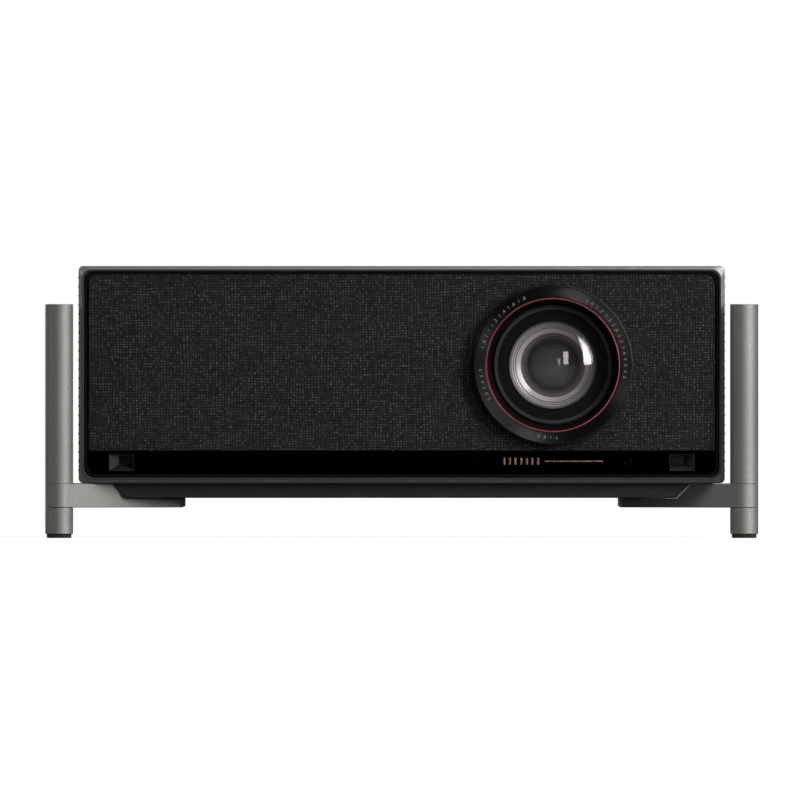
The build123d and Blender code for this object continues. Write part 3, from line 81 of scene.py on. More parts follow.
class Shade:
    """A material with one Principled shader, and the few nodes that its detail is made from."""

    def __init__(self, name, **sockets):
        self.mat = bpy.data.materials.new(name)
        self.mat.use_nodes = True
        self.tree = self.mat.node_tree
        self.bsdf = self.tree.nodes["Principled BSDF"]
        self.place = self.node("ShaderNodeTexCoord").outputs["Object"]
        for socket, value in sockets.items():
            self.bsdf.inputs[socket.replace("_", " ")].default_value = value

    def node(self, kind, **settings):
        made = self.tree.nodes.new(kind)
        for name, value in settings.items():
            setattr(made, name, value)
        return made

    def feed(self, socket, source):
        if isinstance(source, (int, float)):
            socket.default_value = source
        else:
            self.tree.links.new(source, socket)

    def math(self, operation, *values):
        made = self.node("ShaderNodeMath", operation=operation)
        for socket, value in zip(made.inputs, values):
            self.feed(socket, value)
        return made.outputs[0]

    def axes(self):
        made = self.node("ShaderNodeSeparateXYZ")
        self.tree.links.new(self.place, made.inputs[0])
        return made.outputs

    def joined(self, *values):
        made = self.node("ShaderNodeCombineXYZ")
        for socket, value in zip(made.inputs, values):
            self.feed(socket, value)
        return made.outputs[0]

    def lens_radius(self):
        """Distance from the lens axis."""
        x, _, z = self.axes()
        dx, dz = self.math("SUBTRACT", x, LENS[0]), self.math("SUBTRACT", z, LENS[1])
        squares = self.math("ADD", self.math("MULTIPLY", dx, dx), self.math("MULTIPLY", dz, dz))
        return self.math("SQRT", squares)

    def wave(self, turns):
        """Rises from 0 to 1 and falls back once in every whole turn."""
        cosine = self.math("COSINE", self.math("MULTIPLY", turns, 2 * math.pi))
        return self.math("MULTIPLY_ADD", cosine, -0.5, 0.5)

    def chance(self, u, v):
        """A random value from 0 to 1 for each whole-number cell of u and v."""
        made = self.node("ShaderNodeTexWhiteNoise", noise_dimensions="2D")
        self.tree.links.new(self.joined(self.math("FLOOR", u), self.math("FLOOR", v)), made.inputs["Vector"])
        return made.outputs["Value"]

    def past(self, coordinate, start, low, high):
        """0 up to low mm past the start, which is in metres, then rising to 1 at high mm past it."""
        beyond = self.math("MULTIPLY_ADD", coordinate, 1 / MM, -start / MM)
        return self.ramp(beyond, (low, 0.0), (high, 1.0))

    def bands(self, source, scale, *bands):
        """Flat bands with narrow blends: (where a band starts, in mm, its value), innermost first."""
        stops = [(0.0, bands[0][1])]
        for (_, before), (start, value) in zip(bands, bands[1:]):
            stops += [((start - 0.05) / scale, before), ((start + 0.05) / scale, value)]
        return self.ramp(self.math("DIVIDE", source, scale * MM), *stops)

    def scaled(self, factors):
        made = self.node("ShaderNodeMapping")
        made.inputs["Scale"].default_value = factors
        self.tree.links.new(self.place, made.inputs["Vector"])
        return made.outputs[0]

    def noise(self, scale, detail=2.0, roughness=0.5, place=None):
        made = self.node("ShaderNodeTexNoise")
        made.inputs["Scale"].default_value = scale
        made.inputs["Detail"].default_value = detail
        made.inputs["Roughness"].default_value = roughness
        self.tree.links.new(place or self.place, made.inputs["Vector"])
        return made.outputs["Fac"]

    def cells(self, scale, output="Distance"):
        made = self.node("ShaderNodeTexVoronoi")
        made.inputs["Scale"].default_value = scale
        self.tree.links.new(self.place, made.inputs["Vector"])
        return made.outputs[output]

    def ramp(self, source, *stops):
        """stops are (position, value), where a value is a grey number or an (r, g, b)."""
        made = self.node("ShaderNodeValToRGB")
        elements = made.color_ramp.elements
        while len(elements) < len(stops):
            elements.new(0.5)
        for element, (position, value) in zip(elements, stops):
            rgb = value if isinstance(value, tuple) else (value,) * 3
            element.position = position
            element.color = (*rgb, 1.0)
        self.feed(made.inputs[0], source)
        return made.outputs[0]

    def mix(self, kind, factor, first, second):
        made = self.node("ShaderNodeMix", data_type="RGBA", blend_type=kind)
        self.feed(made.inputs[0], factor)
        for socket, value in ((made.inputs[6], first), (made.inputs[7], second)):
            if isinstance(value, tuple):
                socket.default_value = (*value, 1.0)
            else:
                self.tree.links.new(value, socket)
        return made.outputs[2]

    def colour(self, source):
        self.tree.links.new(source, self.bsdf.inputs["Base Color"])

    def rough(self, source):
        self.tree.links.new(source, self.bsdf.inputs["Roughness"])

    def rounded(self, radius):
        """The surface's normal with its edges rounded, so that a real edge break catches the light."""
        made = self.node("ShaderNodeBevel", samples=4)
        made.inputs["Radius"].default_value = radius
        return made.outputs[0]

    def worn(self, soft_normal):
        """A mask of the edges: where the rounded normal leaves the true one."""
        true_normal = self.node("ShaderNodeNewGeometry").outputs["Normal"]
        dot = self.node("ShaderNodeVectorMath", operation="DOT_PRODUCT")
        self.tree.links.new(soft_normal, dot.inputs[0])
        self.tree.links.new(true_normal, dot.inputs[1])
        return self.ramp(self.math("SUBTRACT", 1.0, dot.outputs["Value"]), (0.02, 0.0), (0.25, 1.0))

    def bump(self, height, strength, distance, normal=None):
        made = self.node("ShaderNodeBump")
        made.inputs["Strength"].default_value = strength
        made.inputs["Distance"].default_value = distance
        self.tree.links.new(height, made.inputs["Height"])
        if normal is not None:
            self.tree.links.new(normal, made.inputs["Normal"])
        return made.outputs[0]

    def normal(self, source):
        self.tree.links.new(source, self.bsdf.inputs["Normal"])


# ---------------------------------------------------------------- finishes

ANODISED_DARK, ANODISED_LIGHT = (0.27, 0.268, 0.254), (0.41, 0.408, 0.39)


def blasted_tone(s, fine, dark, light):
    """Fine grain under faint clouds."""
    clouds = s.ramp(s.noise(16.0, 3.0), (0.3, 0.86), (0.7, 1.0))
    return s.mix("MULTIPLY", 0.5, s.ramp(fine, (0.3, dark), (0.7, light)), clouds)


def blasted_metal(name, dark, light, edge, grain=2100.0, rough=(0.5, 0.64)):
    """Bead-blasted and anodised aluminium: fine grain, cloudy tone, edges rubbed lighter."""
    s = Shade(name, Metallic=1.0)
    fine = s.noise(grain, 3.0, 0.62)
    tone = blasted_tone(s, fine, dark, light)
    soft = s.rounded(0.5 * MM)
    s.colour(s.mix("MIX", s.math("MULTIPLY", s.worn(soft), 0.55), tone, edge))
    s.rough(s.ramp(s.noise(grain * 0.6, 2.0), (0.3, rough[0]), (0.7, rough[1])))
    pits = s.cells(grain * 0.8)
    s.normal(s.bump(s.math("ADD", fine, s.math("MULTIPLY", pits, 0.5)), 0.5, 0.05 * MM, soft))
    return s.mat


def moulded(name, dark, light, grain=1100.0, rough=(0.42, 0.56), relief=0.3, edge=None, shine=0.5):
    """Moulded or powder-coated black: a fine pebbled skin, faint dust in it, and edges that polish up."""
    s = Shade(name, Specular_IOR_Level=shine)
    skin = s.cells(grain)
    fine = s.noise(grain * 2.4, 2.0)
    dust = s.noise(31.0, 5.0, 0.7)
    tone = s.ramp(fine, (0.3, dark), (0.75, light))
    tone = s.mix("MIX", s.ramp(dust, (0.55, 0.0), (0.85, 0.2 * shine)), tone, (0.10, 0.095, 0.09))
    soft = s.rounded(0.35 * MM)
    if edge:
        tone = s.mix("MIX", s.math("MULTIPLY", s.worn(soft), 0.4), tone, edge)
    s.colour(tone)
    s.rough(s.ramp(s.noise(90.0, 3.0), (0.35, rough[0]), (0.65, rough[1])))
    s.normal(s.bump(s.math("ADD", skin, s.math("MULTIPLY", fine, 0.4)), relief, 0.06 * MM, soft))
    return s.mat


def brushed(name, dark, light, along):
    """Turned or brushed metal: hairlines that run along the axis with the lowest scale."""
    s = Shade(name, Metallic=1.0)
    hair = s.noise(1.0, 4.0, 0.7, s.scaled(along))
    s.colour(s.ramp(hair, (0.25, dark), (0.75, light)))
    s.rough(s.ramp(s.noise(1.0, 2.0, 0.5, s.scaled(along)), (0.3, 0.2), (0.7, 0.34)))
    s.normal(s.bump(hair, 0.25, 0.02 * MM, s.rounded(0.25 * MM)))
    return s.mat


WARP_PITCH, WEFT_PITCH = 1.81 * MM, 1.61 * MM
THREAD_DRIFT = 2.2  # how many threads' widths the threads wander by
KNOT_WEIGHT, WARP_WEIGHT, WEFT_WEIGHT = 3.7, 0.5, 0.6


def woven(name):
    """Linen-look acoustic cloth: uneven warp and weft, and a raised knot at each crossing, light or dark."""
    s = Shade(name, Sheen_Weight=0.12, Sheen_Roughness=0.45, Sheen_Tint=(0.75, 0.74, 0.7, 1.0),
              Specular_IOR_Level=0.25)
    x, _, z = s.axes()
    drift_x = s.noise(1.0, 2.0, 0.5, s.scaled((60.0, 1.0, 25.0)))
    drift_z = s.noise(1.0, 2.0, 0.5, s.scaled((25.0, 1.0, 60.0)))
    u = s.math("ADD", s.math("DIVIDE", x, WARP_PITCH), s.math("MULTIPLY", drift_x, THREAD_DRIFT))
    v = s.math("ADD", s.math("DIVIDE", z, WEFT_PITCH), s.math("MULTIPLY", drift_z, THREAD_DRIFT))
    column, row = s.wave(u), s.wave(v)
    # Each thread keeps its own tone for a few centimetres, then changes: the slubs of a linen look.
    warp = s.ramp(s.noise(1.0, 2.0, 0.6, s.scaled((620.0, 1.0, 60.0))), (0.3, 0.0), (0.7, WARP_WEIGHT))
    weft = s.ramp(s.noise(1.0, 2.0, 0.6, s.scaled((60.0, 1.0, 620.0))), (0.3, 0.0), (0.7, WEFT_WEIGHT))
    threads = s.math("ADD", s.math("MULTIPLY", column, warp), s.math("MULTIPLY", row, weft))
    # Most knots stay dark and a few are bright.
    level = s.math("MULTIPLY", s.math("POWER", s.chance(u, v), 1.9), KNOT_WEIGHT)
    height = s.math("ADD", s.math("MULTIPLY", s.math("MULTIPLY", column, row), level), threads)
    fibre = s.noise(5200.0, 3.0, 0.7)
    dark, light = (0.0036, 0.0036, 0.0032), (0.096, 0.096, 0.087)
    # The tone follows the height: the valleys between threads are painted dark as shade, and the raised knots
    # lighter, over the threads' and knots' own tones.
    tone = s.ramp(s.math("MULTIPLY", height, 0.3), (0.0, dark), (1.0, light))
    tone = s.mix("MULTIPLY", 0.6, tone, s.ramp(fibre, (0.3, 0.7), (0.7, 1.0)))
    # Single filaments, about three to a thread, catch the light or lose it.
    filament = s.chance(s.math("MULTIPLY", u, 3.0), s.math("MULTIPLY", v, 2.6))
    s.colour(s.mix("MULTIPLY", 1.0, tone, s.ramp(filament, (0.0, 0.35), (1.0, 1.2))))
    s.rough(s.ramp(fibre, (0.3, 0.78), (0.7, 0.95)))
    s.normal(s.bump(s.math("ADD", height, s.math("MULTIPLY", fibre, 0.15)), 0.5, 0.12 * MM))
    return s.mat


def gloss_black(name):
    """Black glass-like acrylic: a hard polish with the faintest haze and dust."""
    s = Shade(name, Specular_IOR_Level=0.12)
    s.colour(s.ramp(s.noise(2600.0, 2.0), (0.78, (0.00002, 0.00002, 0.00002)), (0.86, (0.001, 0.001, 0.001))))
    s.rough(s.ramp(s.noise(22.0, 4.0, 0.6), (0.35, 0.02), (0.7, 0.055)))
    s.normal(s.bump(s.noise(18.0, 2.0), 0.03, 0.3 * MM, s.rounded(0.3 * MM)))
    return s.mat


GLASS_IOR = 1.52


def glass_dust(s):
    """A trace of dust: specks here and there."""
    return s.ramp(s.noise(700.0, 3.0, 0.7), (0.68, 0.0), (0.86, 0.5))


def clear_glass(name, tint, rough=0.0, film=0.0):
    """Polished optical glass with a thin anti-reflection coating, and a trace of dust."""
    s = Shade(name, Transmission_Weight=1.0, IOR=GLASS_IOR)
    s.bsdf.inputs["Thin Film Thickness"].default_value = film
    s.bsdf.inputs["Thin Film IOR"].default_value = 1.38
    s.colour(s.mix("MIX", glass_dust(s), tint, tuple(0.97 * c for c in tint)))
    s.rough(s.ramp(s.noise(60.0, 3.0), (0.4, rough), (0.8, rough + 0.012)))
    return s.mat


def circuit_board(name):
    """Green solder mask over copper tracks, with tinned pads."""
    s = Shade(name, Specular_IOR_Level=0.6)
    tracks = s.cells(900.0)
    pads = s.ramp(s.cells(780.0, output="Color"), (0.87, 0.0), (0.89, 1.0))
    board = s.ramp(tracks, (0.08, (0.004, 0.035, 0.014)), (0.16, (0.008, 0.065, 0.024)))
    s.colour(s.mix("MIX", pads, board, (0.36, 0.34, 0.30)))
    s.rough(s.ramp(s.noise(120.0, 2.0), (0.3, 0.3), (0.7, 0.45)))
    s.normal(s.bump(tracks, 0.3, 0.05 * MM, s.rounded(0.2 * MM)))
    return s.mat


def rubber(name):
    """Soft black rubber: matt, dusty and finely pitted."""
    s = Shade(name, Sheen_Weight=0.2, Sheen_Roughness=0.5)
    s.colour(s.ramp(s.noise(140.0, 5.0, 0.7), (0.45, (0.010, 0.010, 0.010)), (0.8, (0.035, 0.034, 0.032))))
    s.rough(s.ramp(s.noise(300.0, 2.0), (0.3, 0.74), (0.7, 0.9)))
    s.normal(s.bump(s.cells(1500.0), 0.35, 0.06 * MM, s.rounded(0.5 * MM)))
    return s.mat


def amber(name):
    """Dark infra-red window of the sensors: brown, glossy, slightly milky."""
    s = Shade(name, Coat_Weight=0.5, Coat_Roughness=0.05)
    s.colour(s.ramp(s.noise(500.0, 2.0), (0.3, (0.003, 0.0016, 0.001)), (0.7, (0.014, 0.007, 0.004))))
    s.rough(s.ramp(s.noise(200.0, 2.0), (0.3, 0.15), (0.7, 0.25)))
    s.normal(s.bump(s.noise(260.0, 2.0), 0.1, 0.05 * MM, s.rounded(0.2 * MM)))
    return s.mat


def radial_metal(name, scale, tones_and_glints, rough, metal, edge_r=0.12, shine=0.5):
    """Turned metal coloured in bands by distance from the lens axis: the metal's own tones, and in some rings
    painted highlights.
    """
    s = Shade(name, Metallic=metal, Specular_IOR_Level=shine)
    radius = s.lens_radius()
    cut = s.noise(5200.0, 2.0, 0.6, s.joined(radius, 0.0, 0.0))
    tone = s.bands(radius, scale, *tones_and_glints)
    s.colour(s.mix("MULTIPLY", 0.5, tone, s.ramp(cut, (0.3, 0.7), (0.7, 1.0))))
    s.rough(s.ramp(cut, (0.3, rough[0]), (0.7, rough[1])))
    s.normal(s.bump(cut, 0.12, 0.02 * MM, s.rounded(edge_r * MM)))
    return s.mat


def rimmed_shell(name):
    """Bead-blasted shell, coarser on its roof and painted darker there as shade against the key light's
    glare, with soft front edges round a dark, flat inner rim.
    """
    s = Shade(name, Metallic=1.0)
    fine = s.noise(2100.0, 3.0, 0.62)
    _, y, z = s.axes()
    on_top = s.past(z, body_hi.z - 1.0 * MM, 0.5, 0.95)
    roof = s.math("MULTIPLY", on_top, s.past(y, body_lo.y + 2.0 * MM, 0.0, 0.9))
    inside = s.past(y, body_lo.y, 0.04, 0.12)
    tone = blasted_tone(s, fine, ANODISED_DARK, ANODISED_LIGHT)
    # Painted shade: the roof's colour is darkened to hold down the key light's glare on it.
    tone = s.mix("MIX", roof, tone, s.mix("MULTIPLY", 1.0, tone, (0.62, 0.62, 0.62)))
    s.colour(s.mix("MIX", inside, (0.07, 0.07, 0.067), tone))
    sides = s.ramp(s.noise(1260.0, 2.0), (0.3, 0.52), (0.7, 0.66))
    s.rough(s.math("MAXIMUM", sides, s.math("MULTIPLY", roof, 0.86)))
    s.normal(s.bump(fine, 0.4, 0.04 * MM, s.rounded(1.3 * MM)))
    return s.mat


SECOND_GLASS_Y = -133.0 * MM  # the node's glass behind this is its second element


def front_glass(name):
    """The front element clear as glass, and the hazier second element behind it."""
    s = Shade(name, IOR=GLASS_IOR, Specular_Tint=(1.0, 0.93, 0.93, 1.0))
    _, y, _ = s.axes()
    depth = s.past(y, SECOND_GLASS_Y, 0.0, 1.0)
    clear = s.mix("MIX", glass_dust(s), (0.97, 0.95, 0.955), (0.94, 0.92, 0.925))
    s.colour(s.mix("MIX", depth, clear, (0.215, 0.207, 0.21)))
    s.feed(s.bsdf.inputs["Transmission Weight"], s.ramp(depth, (0.0, 1.0), (1.0, 0.35)))
    smears = s.ramp(s.noise(60.0, 3.0), (0.4, 0.0), (0.8, 0.012))
    s.rough(s.mix("MIX", depth, smears, (0.12, 0.12, 0.12)))
    return s.mat


finish = {
    "anodised_grey": blasted_metal("blasted_grey", ANODISED_DARK, ANODISED_LIGHT, (0.55, 0.55, 0.53),
                                   rough=(0.57, 0.71)),
    "foot_rubber": rubber("rubber_black"),
    "cast_black": moulded("powder_black", (0.012, 0.012, 0.012), (0.023, 0.023, 0.0225), 950.0,
                          (0.42, 0.54), 0.35, (0.06, 0.06, 0.06)),
    "black_plastic": moulded("plastic_black", (0.008, 0.008, 0.008), (0.016, 0.016, 0.016), 1300.0,
                             (0.38, 0.5), 0.25, (0.045, 0.045, 0.045)),
    "gloss_black": gloss_black("acrylic_black"),
    "sensor_amber": amber("sensor_brown"),
    "indicator_smoke": clear_glass("smoke_window", (0.05, 0.05, 0.055), 0.05),
    "copper_inlay": brushed("copper_brushed", (0.55, 0.31, 0.22), (0.80, 0.50, 0.38), (900.0, 900.0, 60.0)),
    "woven_cloth": woven("acoustic_cloth"),
    "lens_black": moulded("lens_black", (0.006, 0.006, 0.0065), (0.013, 0.013, 0.0135), 1800.0,
                          (0.3, 0.42), 0.15, (0.05, 0.05, 0.05)),
    "polished_steel": brushed("steel_turned", (0.46, 0.46, 0.455), (0.58, 0.58, 0.57),
                              (3200.0, 3200.0, 500.0)),
    "optical_glass": clear_glass("coated_glass", (0.96, 0.93, 0.94), 0.0, 420.0),
    "gear_brass": brushed("gear_brass", (0.45, 0.30, 0.12), (0.66, 0.48, 0.22), (800.0, 60.0, 800.0)),
    "motor_steel": brushed("motor_steel", (0.30, 0.30, 0.31), (0.5, 0.5, 0.51), (300.0, 40.0, 300.0)),
    "engine_cast": blasted_metal("engine_cast", (0.16, 0.16, 0.165), (0.26, 0.26, 0.265), (0.4, 0.4, 0.4),
                                 900.0, (0.45, 0.6)),
    "heat_sink_metal": blasted_metal("heat_sink", (0.40, 0.40, 0.41), (0.58, 0.58, 0.59), (0.7, 0.7, 0.7),
                                     1500.0, (0.35, 0.5)),
    "circuit_board": circuit_board("board_green"),
}

# Nodes that differ from the rest of their slot, or have a slot to themselves.
own_finish = {
    "outer_shell": rimmed_shell("shell_blasted"),
    "data_sockets": blasted_metal("socket_nickel", (0.30, 0.30, 0.295), (0.36, 0.36, 0.355),
                                  (0.46, 0.46, 0.455), 1600.0, (0.36, 0.44)),
    # The baffle's near-white bands are painted highlights: glints off the step edges and light through the
    # glass.
    "front_baffle": radial_metal("baffle_painted_glints", 26.0, [
        (0.0, (0.09, 0.087, 0.087)), (13.6, (0.145, 0.133, 0.133)), (15.6, (0.25, 0.225, 0.215)),
        (17.7, (0.95, 0.93, 0.91)), (20.5, (0.50, 0.485, 0.475)), (21.5, (0.95, 0.93, 0.91)),
        (22.3, (0.14, 0.14, 0.14)), (22.7, (0.95, 0.93, 0.92)), (23.6, (0.40, 0.39, 0.38))],
        (0.25, 0.38), 0.12),
    "front_element": front_glass("front_glass"),
    # The ring is red; its thin bright pink band is that red brightened into a painted highlight along the
    # turned edge.
    "lens_red_ring": radial_metal("red_ring_edge", 42.0, [
        (0.0, (0.05, 0.004, 0.006)), (39.75, (0.95, 0.26, 0.34)), (40.45, (0.16, 0.02, 0.028))],
        (0.24, 0.36), 1.0, 0.6),
    "front_lens_cell": radial_metal("cell_black", 40.0, [
        (0.0, (0.007, 0.007, 0.007)), (33.3, (0.042, 0.042, 0.040)), (35.3, (0.003, 0.003, 0.003))],
        (0.34, 0.46), 0.0, shine=0.06),
    "lens_hood": moulded("hood_flock", (0.0015, 0.0015, 0.0015), (0.004, 0.004, 0.004), 1800.0,
                         (0.75, 0.9), 0.15, shine=0.05),
    "front_frame": moulded("frame_black", (0.0015, 0.0015, 0.0015), (0.004, 0.004, 0.004), 1300.0,
                           (0.6, 0.75), 0.2, shine=0.08),
    "sensor_funnels": moulded("funnel_black", (0.004, 0.004, 0.004), (0.009, 0.009, 0.009), 1300.0,
                              (0.40, 0.5), 0.2, shine=0.3),
}

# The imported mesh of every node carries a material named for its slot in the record.
for node_name, node in nodes.items():
    for index, old in enumerate(node.data.materials):
        node.data.materials[index] = own_finish.get(node_name) or finish[old.name]


# ---------------------------------------------------------------- mesh helpers

def piece(name, mesh, material, body="chassis"):
    """Links a mesh as a piece that rides on a body and takes the finish it is given."""
    made = bpy.data.objects.new(name, mesh)
    scene.collection.objects.link(made)
    made.data.materials.clear()
    made.data.materials.append(material)
    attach(made, body)
    return made


def mesh_from(name, bm, smooth_angle=math.radians(40.0)):
    """Turns bm into a mesh, smooth but for edges sharper than the angle."""
    bmesh.ops.recalc_face_normals(bm, faces=bm.faces)
    mesh = bpy.data.meshes.new(name)
    bm.to_mesh(mesh)
    bm.free()
    mesh.shade_smooth()
    mesh.set_sharp_from_angle(angle=smooth_angle)
    return mesh


def lathe(bm, profile, centre, segments, closed=True):
    """Turns (radius, y) points round the axis through centre that runs along Y."""
    rows = []
    for step in range(segments):
        turn = 2 * math.pi * step / segments
        c, s = math.cos(turn), math.sin(turn)
        rows.append([bm.verts.new((centre[0] + r * c, y, centre[1] + r * s)) for r, y in profile])
    count = len(profile)
    for step in range(segments):
        near, far = rows[step], rows[(step + 1) % segments]
        for k in range(count if closed else count - 1):
            nxt = (k + 1) % count
            bm.faces.new((near[k], near[nxt], far[nxt], far[k]))


def circle(bm, centre, radius, y, sides):
    """New points round the axis through centre that runs along Y."""
    turns = [2 * math.pi * k / sides for k in range(sides)]
    return [bm.verts.new((centre[0] + radius * math.cos(turn), y, centre[1] + radius * math.sin(turn)))
            for turn in turns]


# ---------------------------------------------------------------- speaker cloth

cloth_lo, cloth_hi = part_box("speaker_cloth")
CLOTH_CORNER_R, CLOTH_LOWER_CORNER_R = 5.0 * MM, 1.0 * MM
CLOTH_HOLE_R = 41.7 * MM
CLOTH_ROLL = 0.7 * MM
# How a rolled edge falls back: (share of the roll's width from the edge, share of the depth).
ROLL = [(0.0, 0.98), (0.05, 0.55), (0.3, 0.18), (0.65, 0.03)]
CORNER_CUTS = 8
CLOTH_RINGS = 22
OUTLINE_STEP = 2.6 * MM


def cloth_outline():
    """Points round the cloth's outline: round top corners, nearly square bottom ones."""
    lo_x, hi_x = cloth_lo.x, cloth_hi.x
    lo_z, hi_z = cloth_lo.z, cloth_hi.z
    points = []
    corners = [(hi_x, hi_z, 0.0, CLOTH_CORNER_R), (lo_x, hi_z, 90.0, CLOTH_CORNER_R),
               (lo_x, lo_z, 180.0, CLOTH_LOWER_CORNER_R), (hi_x, lo_z, 270.0, CLOTH_LOWER_CORNER_R)]
    for x, z, start, r in corners:
        cx = x - r if x > 0 else x + r
        cz = z - r if z > (lo_z + hi_z) / 2 else z + r
        for k in range(CORNER_CUTS + 1):
            turn = math.radians(start + 90.0 * k / CORNER_CUTS)
            points.append((cx + r * math.cos(turn), cz + r * math.sin(turn)))
    full = []
    for (x0, z0), (x1, z1) in zip(points, points[1:] + points[:1]):
        cuts = max(1, round(math.hypot(x1 - x0, z1 - z0) / OUTLINE_STEP))
        full += [(x0 + (x1 - x0) * k / cuts, z0 + (z1 - z0) * k / cuts) for k in range(cuts)]
    return full


def cloth_mesh():
    """The stretched cloth: flat in front, its edges rolled back over the carrier and into the lens hole."""
    front, back = cloth_lo.y, cloth_hi.y
    depth = back - front
    outline = cloth_outline()
    turns = [math.atan2(z - LENS[1], x - LENS[0]) for x, z in outline]
    reaches = [math.hypot(x - LENS[0], z - LENS[1]) for x, z in outline]
    flat_r = CLOTH_HOLE_R + CLOTH_ROLL
    loops = [(depth * sink, [CLOTH_HOLE_R + out * CLOTH_ROLL] * len(turns)) for out, sink in ROLL]
    for ring in range(CLOTH_RINGS + 1):
        share = (ring / CLOTH_RINGS) ** 1.25  # closer together near the hole
        loops.append((0.0, [flat_r + (reach - CLOTH_ROLL - flat_r) * share for reach in reaches]))
    loops += [(depth * sink, [reach - out * CLOTH_ROLL for reach in reaches]) for out, sink in reversed(ROLL)]
    bm = bmesh.new()
    rows = []
    for sink, radii in loops:
        rows.append([bm.verts.new((LENS[0] + r * math.cos(turn), front + sink, LENS[1] + r * math.sin(turn)))
                     for r, turn in zip(radii, turns)])
    for inner, outer in zip(rows, rows[1:]):
        for k in range(len(inner)):
            nxt = (k + 1) % len(inner)
            bm.faces.new((inner[k], outer[k], outer[nxt], inner[nxt]))
    return mesh_from("cloth_sheet", bm, math.radians(80.0))


cloth = piece("cloth_sheet", cloth_mesh(), finish["woven_cloth"])
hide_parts("speaker_cloth")


# ---------------------------------------------------------------- lens trim ring

RING_BORE_R = 40.7 * MM
GROOVE_PITCH = 0.46 * MM
GROOVE_DEPTH = 0.155 * MM
GROOVE_LAND, GROOVE_LOW = 0.08, 0.54  # where the land ends and where the valley is lowest, in pitches
FACE_SINK = 0.03 * MM  # of the ring's face behind its foremost edge
RING_STEPS = 288


def ring_mesh():
    """The trim ring with its turned grooves, each a real shallow valley."""
    front, back = lens_lo.y, lens_hi.y
    face = front + FACE_SINK
    profile = [(RING_BORE_R, back), (RING_BORE_R, front + 0.35 * MM),
               (RING_BORE_R + 0.12 * MM, front + 0.1 * MM), (RING_BORE_R + 0.4 * MM, face)]
    r = RING_BORE_R + 0.5 * MM
    last = RING_R - 1.0 * MM
    while r + GROOVE_PITCH < last:
        profile += [(r, face), (r + GROOVE_LAND * GROOVE_PITCH, face),
                    (r + GROOVE_LOW * GROOVE_PITCH, face + GROOVE_DEPTH)]
        r += GROOVE_PITCH
    profile += [(r, face), (RING_R - 0.38 * MM, face), (RING_R - 0.24 * MM, front + 0.09 * MM),
                (RING_R - 0.06 * MM, front + 0.28 * MM), (RING_R, front + 0.42 * MM), (RING_R, back)]
    bm = bmesh.new()
    lathe(bm, profile, LENS, RING_STEPS)
    return mesh_from("lens_ring", bm, math.radians(25.0))


def turned_black(name):
    """Diamond-turned black ring: rings of slightly different tone, anisotropic along the cut."""
    s = Shade(name, Metallic=1.0, Anisotropic=0.3)
    cut = s.noise(6500.0, 2.0, 0.6, s.joined(s.lens_radius(), 0.0, 0.0))
    s.colour(s.ramp(cut, (0.3, (0.018, 0.018, 0.0175)), (0.7, (0.046, 0.046, 0.044))))
    s.rough(s.ramp(cut, (0.3, 0.26), (0.7, 0.36)))
    tangent = s.node("ShaderNodeTangent", direction_type="RADIAL", axis="Y")
    s.tree.links.new(tangent.outputs[0], s.bsdf.inputs["Tangent"])
    s.normal(s.bump(cut, 0.1, 0.01 * MM))
    return s.mat


lens_ring = piece("lens_ring", ring_mesh(), turned_black("ring_turned"))
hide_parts("lens_trim_ring")


# A scale of numbers round the ring: distances, as on any lens.
MARK_R = 42.75 * MM
MARK_H = 2.0 * MM
MARK_T = 0.02 * MM
FONT_CAP_SHARE = 0.7  # a numeral's height over the font's size
SCALE_ARCS = [
    (166.0, "1.0 1.1 1.2 1.4 1.6 1.8"),
    (62.0, "2.0 2.2 2.5 2.8 3.2 3.6 4.0 4.5"),
    (208.0, "5.0 5.6 6.3"),
    (273.0, "7.1 8.0"),
]
MARK_STEP = math.radians(3.05)
NARROW, WIDE = 0.62, 0.95  # steps that a point or space takes, and a numeral


def glyph_mesh(character):
    """One numeral as a mesh, from Blender's own font."""
    curve = bpy.data.curves.new("glyph", "FONT")
    curve.body = character
    curve.size = MARK_H / FONT_CAP_SHARE
    curve.extrude = MARK_T / 2
    curve.resolution_u = 3
    curve.align_x = "CENTER"
    holder = bpy.data.objects.new("glyph", curve)
    mesh = bpy.data.meshes.new_from_object(holder)
    bpy.data.objects.remove(holder)
    return mesh


def scale_mesh():
    """The numbers, set round each arc clockwise from where it starts."""
    face = lens_lo.y + FACE_SINK
    glyphs = {c: glyph_mesh(c) for c in "0123456789."}
    bm = bmesh.new()
    for start, text in SCALE_ARCS:
        turn = math.radians(start)
        for character in text:
            if character != " ":
                up = Vector((math.cos(turn), 0.0, math.sin(turn)))
                right = Vector((math.sin(turn), 0.0, -math.cos(turn)))
                out = Vector((0.0, -1.0, 0.0))
                place = Matrix((right, up, out)).transposed().to_4x4()
                place.translation = Vector((LENS[0], face, LENS[1])) + up * MARK_R
                copy = glyphs[character].copy()
                copy.transform(place)
                bm.from_mesh(copy)
                bpy.data.meshes.remove(copy)
            turn -= MARK_STEP * (NARROW if character in ". " else WIDE)
    bmesh.ops.remove_doubles(bm, verts=bm.verts, dist=1e-7)
    mesh = mesh_from("lens_scale", bm)
    for glyph in glyphs.values():
        bpy.data.meshes.remove(glyph)
    return mesh


def printed_ink(name):
    """Thin grey print, a little worn."""
    s = Shade(name)
    s.colour(s.ramp(s.noise(2500.0, 2.0), (0.35, (0.16, 0.16, 0.16)), (0.7, (0.34, 0.34, 0.335))))
    s.rough(s.ramp(s.noise(900.0, 2.0), (0.3, 0.5), (0.7, 0.65)))
    return s.mat


piece("lens_scale", scale_mesh(), printed_ink("scale_ink"))


# ---------------------------------------------------------------- rear-panel screws

